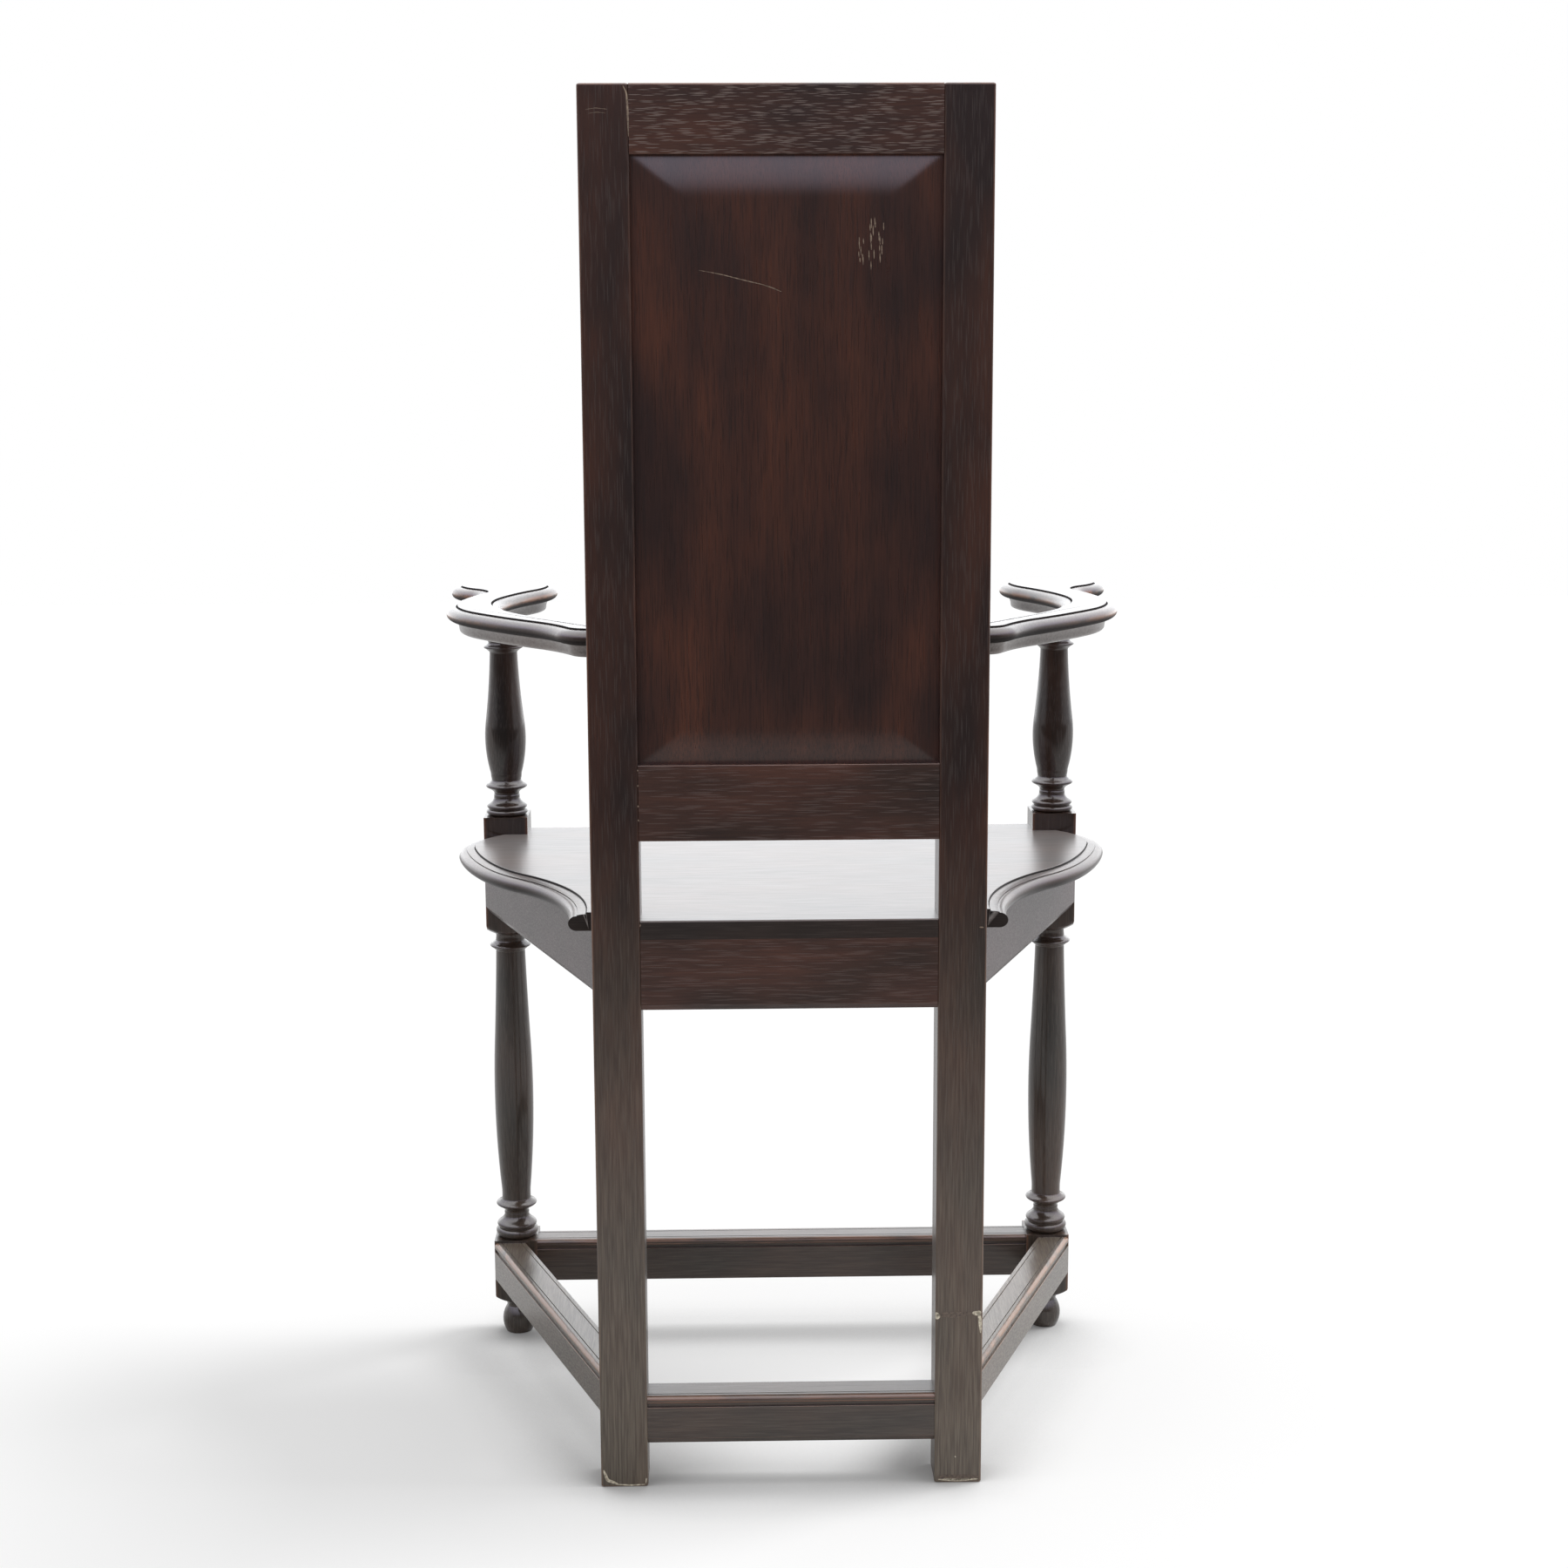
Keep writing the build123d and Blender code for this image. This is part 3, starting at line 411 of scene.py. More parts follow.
rear_rail = [*eased(0, RAIL_BOTTOM, 1),
             (0, SEAT_UNDER, 0, 0), (BACK_RAIL, SEAT_UNDER, 0, 0), (BACK_RAIL, RAIL_BOTTOM, ARRIS, 0.3)]
fit(make("rear_seat_rail_worn", cross_bar(rear_rail, POST_IN)), rail_oak, "dark_oak", "rear_seat_rail")
rail_face = SEAT_FRONT - FRONT_RAIL_SETBACK
front_rail = [(rail_face - SEAT_RAIL, RAIL_BOTTOM, ARRIS, 0.3), (rail_face - SEAT_RAIL, SEAT_UNDER, 0, 0),
              (rail_face, SEAT_UNDER, 0, 0), *bead_corners(rail_face, RAIL_BOTTOM, -1, 1)[::-1]]
fit(make("front_seat_rail_worn", cross_bar(front_rail, LEG_IN)), rail_oak, "dark_oak", "front_seat_rail")
side_rail = [*eased(0, RAIL_BOTTOM, 1),
             (0, SEAT_UNDER, 0, 0), (SIDE_RAIL, SEAT_UNDER, 0, 0), (SIDE_RAIL, RAIL_BOTTOM, ARRIS, 0.2)]
for side, mirrored, turn in (("left", False, -1), ("right", True, 1)):
    # Plain oak, coloured colder and greyer than the other rails as painted shade under the seat; its grain
    # follows the splay
    oak = fumed_oak(f"fumed_oak_side_rail_shaded_{side}", (pi / 2, 0.0, turn * np.arctan(SPLAY)),
                    "#33282a", "#453438", scuff_and_floor_light=0.2)
    fit(make(f"side_seat_rail_{side}_worn", splayed_bar(side_rail), mirrored=mirrored), oak, "dark_oak",
        f"side_seat_rail_{side}")

# ---- Stretchers --------------------------------------------------------------------------------
# Four stretchers near the floor, each with a bead between a groove and a fine quirk at its upper
# outer edge. Feet have worn the beads to a bright brown and rubbed the tops grey.

STRETCHER = 0.028
STRETCHER_BOTTOM = 0.036
STRETCHER_TOP = 0.076
REAR_STRETCHER_SETBACK = 0.0015
RAISED_BEAD = 0.006
BEAD_ROUND = (0.0020, 0.0036)  # radii of a raised bead's lower and upper corners
TRODDEN = 1.6                  # wear of the beads
GROOVE = (0.0022, 0.003)       # depth and height of the groove under a bead
FINE_QUIRK = 0.0009            # width and depth of the quirk behind a bead
LEANING = 0.0001               # how far the walls of a fine quirk lean in
INCISED = (0.0010, 0.0008)     # width and depth of the line cut along the side stretchers' tops
INCISED_IN = 0.0041            # from the inner face to that line


def beaded(face, inwards):
    """Corners of a bar's upper edge from the groove under the bead, over it and past the quirk."""
    sunk = face + inwards * GROOVE[0]
    shoulder = STRETCHER_TOP - RAISED_BEAD
    quirk = ((0, 0), (LEANING, FINE_QUIRK), (FINE_QUIRK - LEANING, FINE_QUIRK), (FINE_QUIRK, 0))
    top = [(face + inwards * (RAISED_BEAD + across), STRETCHER_TOP - down, 0, 0) for across, down in quirk]
    return [(face, shoulder - GROOVE[1], ARRIS / 2, 1.0), (sunk, shoulder - GROOVE[1], 0, 0),
            (sunk, shoulder, 0, 0), (face, shoulder, BEAD_ROUND[0], TRODDEN),
            (face, STRETCHER_TOP, BEAD_ROUND[1], TRODDEN), *top]


# Oak under many feet: the wax is polished on the beads, whose edges are rubbed to bright brown
stretcher_oak = fumed_oak("fumed_oak_stretchers", ALONG_ACROSS, "#2c2422", "#48332b", worn="#704e3e",
                          coat=0.9, scuff_and_floor_light=0.15)
rear_bar = [*eased(REAR_STRETCHER_SETBACK, STRETCHER_BOTTOM, 1), *beaded(REAR_STRETCHER_SETBACK, 1),
            (REAR_STRETCHER_SETBACK + STRETCHER, STRETCHER_TOP, ARRIS, 0.6),
            (REAR_STRETCHER_SETBACK + STRETCHER, STRETCHER_BOTTOM, ARRIS, 0.3)]
fit(make("rear_stretcher_worn", cross_bar(rear_bar, POST_IN)), stretcher_oak, "dark_oak", "rear_stretcher")
near, far = LEG_DEPTH - STRETCHER / 2, LEG_DEPTH + STRETCHER / 2
front_bar = [(near, STRETCHER_BOTTOM, ARRIS, 0.3), *beaded(near, 1), *beaded(far, -1)[::-1],
             (far, STRETCHER_BOTTOM, ARRIS, 0.3)]
fit(make("front_stretcher_worn", cross_bar(front_bar, LEG_IN)), stretcher_oak, "dark_oak",
    "front_stretcher")
incised = [(SIDE_RAIL - INCISED_IN + across * INCISED[0] / 2, STRETCHER_TOP - down, 0, 0)
           for across, down in ((-1, 0), (0, INCISED[1]), (1, 0))]
side_bar = [*eased(0, STRETCHER_BOTTOM, 1), *beaded(0, 1), *incised,
            (SIDE_RAIL, STRETCHER_TOP, ARRIS, 0.6), (SIDE_RAIL, STRETCHER_BOTTOM, ARRIS, 0.3)]
for side, mirrored, turn in (("left", False, -1), ("right", True, 1)):
    # As the other stretchers, but scuffed greyer and worn paler; its grain follows the splay
    oak = fumed_oak(f"fumed_oak_side_stretcher_{side}", (pi / 2, 0.0, turn * np.arctan(SPLAY)), "#3b3330",
                    "#544138", worn="#94694f", coat=1.0, scuff_and_floor_light=0.5)
    fit(make(f"side_stretcher_{side}_worn", splayed_bar(side_bar), mirrored=mirrored), oak, "dark_oak",
        f"side_stretcher_{side}")

# ---- Front legs --------------------------------------------------------------------------------
# Each leg is one length of oak, turned between square blocks that take the joints: a ball foot, a
# long vase up to the seat and a short one that carries the arm.

LOW_BLOCK = (0.024, 0.078)
SEAT_BLOCK = (0.3836, 0.4855)
SHOULDER = 0.0106
ARM_UNDER = 0.672
BLOCK_CORNER = 0.0281          # radius to a block's worn corners
BLOCK_SHOWS = 0.026            # radius of the turned profile past which its corners are left square
CORNER_WEAR = (0.03, 0.7)      # angle beside a block's corner that is rubbed, and how much
PAST_BLOCK = 57.0              # diameter, in millimetres, that clears a block's corners
# Members from the sole up in millimetres: (rise, diameter at the top, diameter half-way up or None)
FOOT = [(9.9, 22.0, None), (28.0, 22.0, 31.0), (5.5, 26.0, 23.2)]
INTO_BLOCK = [(10.6, PAST_BLOCK, 46.0)]
BASE_LOW = [(0.0, 33.0, None), (0.6, 34.6, None), (7.6, 36.4, 39.4), (0.5, 34.0, None), (0.5, 34.0, None),
            (5.6, 32.4, 37.0), (0.8, 30.4, None), (7.4, 23.4, 24.0), (5.6, 29.6, 23.6)]
RING = [(0.8, 31.6, None), (5.2, 31.6, 37.8), (0.8, 30.2, None), (2.8, 27.0, 27.6)]
LOWER_VASE = [(8.0, 27.2, 26.9), (0.615, 34.0, 35.6), (0.385, 27.0, 30.0)]
UNDER_SHOULDER = [(2.6, 31.0, 27.6), (0.8, 31.8, None), (4.6, 31.8, 37.6), (0.8, 30.4, None),
                  (2.6, 26.8, 27.4), (5.4, 26.4, 26.2)]
BASE_HIGH = [(0.0, 33.0, None), (0.5, 34.6, None), (4.6, 35.4, 38.0), (0.4, 33.6, None), (0.4, 33.6, None),
             (4.4, 33.0, 36.8), (0.7, 30.4, None), (7.4, 24.0, 24.4), (5.2, 29.0, 23.4)]
UPPER_VASE = [(5.4, 28.4, 28.0), (0.46, 34.6, 36.8), (0.54, 25.2, 28.6)]
CAP = [(3.0, 29.4, 26.0), (0.8, 31.0, None), (4.0, 31.0, 35.8), (0.8, 29.0, None), (4.0, 28.6, 27.6),
       (7.0, 27.8, 25.2), (4.6, 30.6, 28.2), (6.0, 33.0, 34.4), (6.6, 31.0, 33.4)]


def profile(members, height, diameter):
    """Radius up a turned shaft. A member is straight, or the parabola through its two ends and its
    diameter half-way up. Returns rows of (height, radius), in metres from millimetre members."""
    rows = [(height, diameter)]
    for rise, top, middle in members:
        share = np.linspace(0, 1, 12 if middle else 2)[1:]
        low, diameter_low = rows[-1]
        if middle:
            swell = (diameter_low * (1 - share) * (1 - 2 * share) + 4 * middle * share * (1 - share)
                     + top * share * (2 * share - 1))
        else:
            swell = diameter_low + (top - diameter_low) * share
        rows += list(zip(low + rise * share, swell))
    return np.array(rows) / (1000, 2000)


def with_vase(below, vase, above, span):
    """Members whose vase takes up what the others leave of a span, in millimetres. The vase's first
    member is a neck of fixed rise, and its others share the rest."""
    height = span - sum(member[0] for member in below + vase[:1] + above)
    return below + vase[:1] + [(share * height, *rest) for share, *rest in vase[1:]] + above


def leg():
    """Radius over (height, angle): the least of the turned profile, the square block's side and its
    worn corner. Angles stop short of each corner, so that it stays crisp."""
    lower = with_vase(BASE_LOW + RING, LOWER_VASE, UNDER_SHOULDER,
                      1000 * (SEAT_BLOCK[0] - SHOULDER - LOW_BLOCK[1]))
    upper = with_vase(BASE_HIGH + RING, UPPER_VASE, CAP, 1000 * (ARM_UNDER - SEAT_BLOCK[1]))
    blocks = [[(1000 * (high - low), PAST_BLOCK, None)] for low, high in (LOW_BLOCK, SEAT_BLOCK)]
    members = FOOT + INTO_BLOCK + blocks[0] + lower + INTO_BLOCK + blocks[1] + upper
    start = 1000 * LOW_BLOCK[0] - sum(member[0] for member in FOOT + INTO_BLOCK)
    turned = profile(members, start, FOOT[0][1])
    height, radius = turned.T
    corner = np.arccos(LEG_BLOCK / 2 / BLOCK_CORNER)
    quarter = np.linspace(-corner, corner, 24)
    angle = np.concatenate([quarter + n * pi / 2 for n in range(4)])
    flat = LEG_BLOCK / 2 / np.cos(np.tile(quarter, 4))
    reach = np.minimum(radius[:, None], flat[None])
    x = LEG_X + reach * np.cos(angle)
    depth = LEG_DEPTH + reach * np.sin(angle)
    rows = np.dstack([x, depth, np.broadcast_to(height[:, None], x.shape)])
    square = radius[:, None] > BLOCK_SHOWS
    at_corner = square & np.tile(np.abs(quarter) > corner - CORNER_WEAR[0], 4)
    return skin(rows, at_corner * CORNER_WEAR[1])


# Oak burnished with shavings on the lathe: the smoothest and darkest, with small sharp highlights
turned_oak = fumed_oak("fumed_oak_turned", ALONG_UPRIGHT, "#211b18", "#3e291f", worn="#7a4d36",
                       roughness=0.34, coat=0.9, gloss=0.12, scuff_and_floor_light=0.15)
for side, mirrored in (("left", False), ("right", True)):
    fit(make(f"front_leg_{side}_turned", leg(), mirrored=mirrored), turned_oak, "dark_oak",
        f"front_leg_{side}")

# ---- Seat board --------------------------------------------------------------------------------
# A thick board with a serpentine edge, notched round the posts and the leg blocks. Its edge falls in
# two low steps, to a narrow rounded band and then to a broad elliptical nose.

SEAT_EAR = (POST_OUT + 0.020, 0.032)                        # corner of the ear beside the post
SEAT_WIDEST = (LEG_X + 0.0355, LEG_BACK - 0.0625)           # where the side swells most
SEAT_HEADING = radians(91)     # from straight across, where the side sets off from the ear
SEAT_SWEEP = ((0.14, 0.30), (0.48, 0.52), (0.77, 0.70))     # shares of the way, across and forwards
SEAT_BAND = 0.0135             # from the edge to the inner step
SEAT_NOSE = 0.0068             # from the edge to the outer step
SEAT_STEP = 0.0015             # height of the inner step
SEAT_FINE_STEP = 0.0007        # height of the outer step
SEAT_BAND_RISE = 0.0009        # from the outer step to the band's inner edge
SEAT_QUIRK = 0.0007            # width of the quirk at the foot of the inner step
SEAT_REAR_ROUND = 0.0015
SEAT_RUB = (0.6, 0.002, 0.003)          # wear of the nose, how far in it is greatest, its spread
FIELD_EDGE = 0.003             # from a step to where its section ends on the flat
QUIRK_SUNK = 0.0008            # depth of a quirk below the moulding before it
STEP_EASED = (0.0003, 0.0002)  # width and height taken off a step's top corner
IN_QUIRK = slice(-5, -2)       # places of a quirk's points in a section
# Wear that marks a quirk, whose colour is darkened with painted shade
QUIRK_SHADE = -2
SAME_ROW = 1e-5                # rows nearer than this are one
OVERRUN = 0.012                # an edge runs on straight this far past its ends before it is cut


def sweep(start, end, shares):
    """Points at the given shares of the way from start to end, across and forwards."""
    return [tuple(a + (b - a) * share for a, b, share in zip(start, end, pair)) for pair in shares]


def serpentine(points, heading, spacing=0.0025):
    """Edge of arcs through (x, depth) points, each tangent to the last. A point at share s of an arc
    that sets off at angle p and turns by t is its start + radius * (sin(p + t s) - sin p,
    cos p - cos(p + t s)). Returns the points and the unit normals to the left of travel."""
    places = []
    angles = []
    for start, end in zip(points, points[1:]):
        chord = np.subtract(end, start)
        turn = 2 * ((np.arctan2(chord[1], chord[0]) - heading + pi) % (2 * pi) - pi)
        radius = np.hypot(*chord) / (2 * np.sin(turn / 2))
        share = np.linspace(0, 1, max(4, int(abs(radius * turn) / spacing)))[:-1]
        angle = heading + turn * share
        places.append(np.array(start) + radius * np.column_stack([np.sin(angle) - np.sin(heading),
                                                                  np.cos(heading) - np.cos(angle)]))
        angles.append(angle)
        heading += turn
    angles = np.concatenate([angles[0][:1], *angles, [heading, heading]])
    first = places[0][0] - OVERRUN * np.array([np.cos(angles[0]), np.sin(angles[0])])
    last = np.array(points[-1]) + OVERRUN * np.array([np.cos(heading), np.sin(heading)])
    edge = np.concatenate([first[None], *places, [points[-1]], last[None]])
    return edge, np.column_stack([-np.sin(angles), np.cos(angles)])


def nose(width, bottom, top, steps=28):
    """Half of an ellipse as (inset, height), from under the board round its edge to the top."""
    angle = np.linspace(-pi / 2, pi / 2, steps)
    height = (bottom + top) / 2 + (top - bottom) / 2 * np.sin(angle)
    return np.column_stack([width * (1 - np.cos(angle)), height])


def step(inset, width, foot, top, end):
    """Corners of a quirk's floor, of the eased step behind it and of the flat up to its end."""
    wall = inset + width
    return [(inset, foot), (wall, foot), (wall + LEANING, top - STEP_EASED[1]),
            (wall + LEANING + STEP_EASED[0], top), (end, top)]


def seat_profile():
    """The nose, the outer step, the band, which rises in a quarter-wave, and the inner step."""
    nose_top = SEAT_TOP - SEAT_STEP - SEAT_FINE_STEP - SEAT_BAND_RISE
    share = np.linspace(0, 1, 8)
    band = np.column_stack([SEAT_NOSE + (SEAT_BAND - SEAT_NOSE) * share,
                            nose_top + SEAT_FINE_STEP + SEAT_BAND_RISE * np.sin(share * pi / 2)])
    end = SEAT_BAND + FIELD_EDGE
    field = step(SEAT_BAND, SEAT_QUIRK, band[-1, 1] - QUIRK_SUNK, SEAT_TOP, end)
    return np.concatenate([[(end, SEAT_UNDER)], nose(SEAT_NOSE, SEAT_UNDER, nose_top, 40), band, field])


def carried(edge, normals, section):
    """Section of (inset, height) at every place along an edge. It may differ from place to place."""
    section = np.broadcast_to(section, (len(edge), *section.shape[-2:]))
    return np.dstack([edge[:, None] + normals[:, None] * section[..., :1], section[..., 1]])


def seat_skins():
    """The nose carried along the left side, its mirror image, the field ruled across between them,
    and the straight tongues between the posts and between the leg blocks."""
    points = [SEAT_EAR, *sweep(SEAT_EAR, SEAT_WIDEST, SEAT_SWEEP), SEAT_WIDEST, (LEG_OUT, LEG_BACK)]
    edge, normals = serpentine(points, SEAT_HEADING)
    left = carried(edge, normals, seat_profile())
    left[..., 1] = np.clip(left[..., 1], SEAT_EAR[1], LEG_BACK)
    left[-1, :, 1] = LEG_BACK
    right = left * (-1, 1, 1)
    apart = left[np.append(True, np.diff(left[:, -1, 1]) > SAME_ROW)]
    bounds = np.stack([apart[:, -1], apart[:, -1] * (-1, 1, 1), apart[:, 0] * (-1, 1, 1), apart[:, 0]], 1)
    inset, height = seat_profile().T
    most, middle, reach = SEAT_RUB
    worn = most * np.exp(-((inset - middle) / reach) ** 2)
    # The quirk is darkened with painted shade
    worn[IN_QUIRK] = QUIRK_SHADE
    rear = cross_bar([(0, SEAT_UNDER, 0, 0), (0, SEAT_TOP, SEAT_REAR_ROUND, 0.7),
                      (SEAT_EAR[1], SEAT_TOP, 0, 0), (SEAT_EAR[1], SEAT_UNDER, 0, 0)], POST_IN)
    front = cross_bar([(LEG_BACK, SEAT_UNDER, 0, 0), (SEAT_FRONT, SEAT_UNDER, SEAT_NOSE, 0.4),
                       (SEAT_FRONT, SEAT_TOP, SEAT_NOSE, 0.6), (LEG_BACK, SEAT_TOP, 0, 0)], LEG_IN)
    return skin(left, worn), skin(right, worn), skin(bounds), rear, front


# Wide boards polished by sitting, with a haze of dry polish: pale where they mirror the daylight, and
# dull and darkened with painted shade where the nose looks down and in the quirks
seat_oak = fumed_oak("fumed_oak_seat", ALONG_ACROSS, "#362b26", "#503a2f", pore="#6b5f58", worn="#463730",
                     roughness=0.36, coat=1.0, gloss=0.26, bumpy=0.05, film=0.4, dull_shaded_under=0.65)
fit(make("seat_board_moulded", *seat_skins()), seat_oak, "worn_oak", "seat_board")

# ---- Arms --------------------------------------------------------------------------------------
# Flat serpentine arms, notched round the posts, that sweep out, draw in to a waist and end in a
# fishtail. A board with a stepped round nose lies on a thinner set-in member with a coved edge.

ARM_TOP = 0.695
ARM_BOARD = 0.682              # underside of the upper member
ARM_EAR = (POST_OUT, 0.022)    # where the edge leaves the post's side
ARM_HEADING = radians(2.5)     # from straight across, at that place
ARM_OVERHANG = 0.021           # past the post's front corner
ARM_WIDTH = 0.041              # across the arm there
# The edge from there round the fishtail and back: the outer and inner edges as shares of the way to
# the leg's axis, across and forwards, and the end from that axis
ARM_OUTER = ((0.052, 0.003), (0.41, 0.13), (1.12, 0.34), (1.43, 0.565))
ARM_INNER = ((0.79, 0.72), (0.79, 0.525), (0.38, 0.30), (-0.07, 0.16))
ARM_END = ((0.0195, -0.052), (0.028, -0.0165), (0.0465, 0.0145), (0.040, 0.049), (-0.0045, 0.0695),
           (-0.0395, 0.049), (-0.049, 0.0105), (-0.0395, -0.0255))
ARM_NOSE = 0.008
ARM_STEP = 0.0014              # height of the flat above the nose
ARM_QUIRK = (0.0002, 0.0011)   # from the nose to the quirk, and its width
ARM_SET_IN = 0.0105
ARM_FOOT_ROUND = 0.0035
ARM_COVE = 0.0022
ARM_RUB = 0.0032               # half the height of the band that hands have rubbed
ARM_HELD = (0.10, 0.20)        # depths over which that rubbing comes up
DUST = -0.5


def arm_section():
    """From the rounded foot of the lower member, up its coved edge, round the nose and up the step
    to the flat. The cove draws in as the square of the way up."""
    angle = np.linspace(-pi / 2, 0, 6)
    toe = np.column_stack([ARM_SET_IN + ARM_FOOT_ROUND * (1 - np.cos(angle)),
                           ARM_UNDER + ARM_FOOT_ROUND * (1 + np.sin(angle))])
    way = np.linspace(0, 1, 7)[1:]
    cove = np.column_stack([ARM_SET_IN - ARM_COVE * way ** 2,
                            ARM_UNDER + ARM_FOOT_ROUND + (ARM_BOARD - ARM_UNDER - ARM_FOOT_ROUND) * way])
    nose_top = ARM_TOP - ARM_STEP
    field = step(ARM_NOSE + ARM_QUIRK[0], ARM_QUIRK[1], nose_top - QUIRK_SUNK, ARM_TOP,
                 ARM_NOSE + FIELD_EDGE)
    return np.concatenate([toe, cove, nose(ARM_NOSE, ARM_BOARD, nose_top), field])


def arm():
    """The section carried round the edge, whose ends run on into the post, with n-gons over the flat,
    under the lower member and between the ends."""
    rear = (POST_OUT + ARM_OVERHANG, POST)
    leg_axis = (LEG_X, LEG_DEPTH)
    end = [(LEG_X + out, LEG_DEPTH + forwards) for out, forwards in ARM_END]
    points = [ARM_EAR, *sweep(rear, leg_axis, ARM_OUTER), *end, *sweep(rear, leg_axis, ARM_INNER),
              (rear[0] - ARM_WIDTH, POST)]
    edge, normals = serpentine(points, ARM_HEADING)
    rows = carried(edge, normals, arm_section())
    count, deep = rows.shape[:2]
    index = np.arange(count * deep).reshape(count, deep)
    faces = np.stack([index[:-1, :-1], index[:-1, 1:], index[1:, 1:], index[1:, :-1]], -1)
    faces = faces.reshape(-1, 4).tolist()
    ends = [*index[0].tolist(), *index[-1, ::-1].tolist()]
    faces += [index[:, -1].tolist(), index[::-1, 0].tolist(), ends]
    _, depth, height = np.moveaxis(rows, -1, 0)
    nose_middle = (ARM_BOARD + ARM_TOP - ARM_STEP) / 2
    forwards = np.clip((depth - ARM_HELD[0]) / (ARM_HELD[1] - ARM_HELD[0]), 0, 1)
    handled = np.clip(1 - np.abs(height - nose_middle) / ARM_RUB, 0, 1) * forwards
    wear = np.where(height < ARM_BOARD - SAME_ROW, DUST, handled)
    # The quirk is darkened with painted shade
    wear[:, IN_QUIRK] = QUIRK_SHADE
    return rows.reshape(-1, 3), faces, wear.ravel()


# Waxed oak polished by hands: glossy on the flat, bright brown round the nose, dusty and dull below,
# where faces that look down, and the quirks, are darkened with painted shade
arm_oak = fumed_oak("fumed_oak_arms", (pi / 2, 0.0, 0.0), "#2b201b", "#452e23", worn="#9a6a4c",
                    roughness=0.36, coat=1.0, gloss=0.22, bumpy=0.05, dull_shaded_under=0.3)
for side, mirrored in (("left", False), ("right", True)):
    fit(make(f"arm_{side}_moulded", arm(), mirrored=mirrored), arm_oak, "worn_oak", f"arm_{side}")

# ---- Pegs --------------------------------------------------------------------------------------
# Eight-sided pegs split from oak and driven from the outside faces, a little proud and darkened
# like the rest. They run across their joints, so each shows its end grain.

# End grain takes up more stain, so the pegs are a shade darker and duller than what they hold
peg_oak = fumed_oak("fumed_oak_pegs", ALONG_ACROSS, "#1e1615", "#2c201d", pore_share=0.1, roughness=0.5)
for name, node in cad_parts.items():
    if name.startswith("pegs_"):
        node.data.materials.clear()
        node.data.materials.append(peg_oak)

# ---- Marks of use ------------------------------------------------------------------------------
# Slivers of pale filler, old glue and dry wax left in the wood: a scratch and open pores on the
# panel, crumbs in the joints, and chips where the right post was pieced out and where the feet drag.

PROUD = 0.0001                 # how far a sliver stands out of the wood
SUNK = 0.0006                  # and how far it goes in
GRIT = 1 / 450                 # grain of what fills the marks, drawn coarse enough to show
# Darkest and palest colour of each stuff
STUFFS = {"chalky_filler": ("#8f8676", "#cfc6b2"), "dry_wax": ("#5c4d43", "#8a7867"),
          "glue_line": ("#4c423b", "#675a50")}


def fleck(path, width, depth=0.0):
    """Sliver along an (x, height) line on a rear face, a little proud of it. Its width is greatest
    half-way, and falls off as the square root of the sine of the way along."""
    way = np.linspace(0.02, 0.98, 12)
    places = np.linspace(0, 1, len(path))
    line = np.column_stack([np.interp(way, places, axis) for axis in np.transpose(path)])
    ahead = np.gradient(line, axis=0)
    aside = ahead[:, ::-1] * (-1, 1) / np.hypot(*ahead.T)[:, None]
    aside = aside * width / 2 * np.sqrt(np.sin(pi * way))[:, None]
    corners = [np.insert(line + sign * aside, 1, depth + inwards, axis=1)
               for sign, inwards in ((1, -PROUD), (-1, -PROUD), (-1, SUNK), (1, SUNK))]
    return skin(np.stack(corners, 1))


def flecks(name, *skins):
    """Slivers of one stuff in one piece. Filler, old glue and dry wax are all matt and grainy, and go
    from a dirty to a pale colour with the grain."""
    material = bpy.data.materials.new(name)
    material.use_nodes = True
    tree = material.node_tree
    tree.nodes.clear()
    place = add(tree, "ShaderNodeTexCoord").outputs["Object"]
    grit = add(tree, "ShaderNodeTexNoise", {"Vector": place, "Scale": 1 / GRIT, "Detail": 2.0})
    share = add(tree, "ShaderNodeMapRange", {"Value": grit, "From Min": 0.35, "From Max": 0.65})
    dirty, pale = (colour(code) for code in STUFFS[name])
    body = add(tree, "ShaderNodeMix", {"Factor": share, 6: dirty, 7: pale}, data_type="RGBA")
    rough = add(tree, "ShaderNodeBump", {"Height": grit, "Strength": 0.4, "Distance": 0.0003})
    shader = add(tree, "ShaderNodeBsdfPrincipled", {"Base Color": body, "Roughness": 0.8, "Normal": rough})
    add(tree, "ShaderNodeOutputMaterial", {"Surface": shader})
    marks = make(name, *skins)
    marks.data.materials.append(material)
    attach(marks, "root")


# Chips at the right post's seam and along both posts' feet, and a nick above each foot
flecks("chalky_filler",
       fleck([(-0.1165, 0.1462), (-0.1182, 0.1428), (-0.1165, 0.1405)], 0.0036),
       fleck([(-0.1455, 0.1455), (-0.1500, 0.1450), (-0.1525, 0.1465)], 0.0040),
       fleck([(-0.1505, 0.1460), (-0.1518, 0.1400), (-0.1524, 0.1280)], 0.0026),
       fleck([(-0.1185, 0.0030), (-0.1340, 0.0022), (-0.1520, 0.0030)], 0.0022),
       fleck([(0.1520, 0.0150), (0.1490, 0.0060), (0.1400, 0.0024)], 0.0026),
       fleck([(0.1430, 0.0024), (0.1300, 0.0014), (0.1180, 0.0020)], 0.0012),
       fleck([(-0.1325, 0.0230), (-0.1333, 0.0218)], 0.0010),
       fleck([(0.1180, 0.0030), (0.1174, 0.0075)], 0.0010))
# Glue squeezed out of that seam, and smeared along the right foot
flecks("glue_line",
       fleck([(-0.1170, 0.1442), (-0.1310, 0.1438), (-0.1460, 0.1450)], 0.0050),
       fleck([(-0.1175, 0.0050), (-0.1340, 0.0042), (-0.1530, 0.0050)], 0.0050))
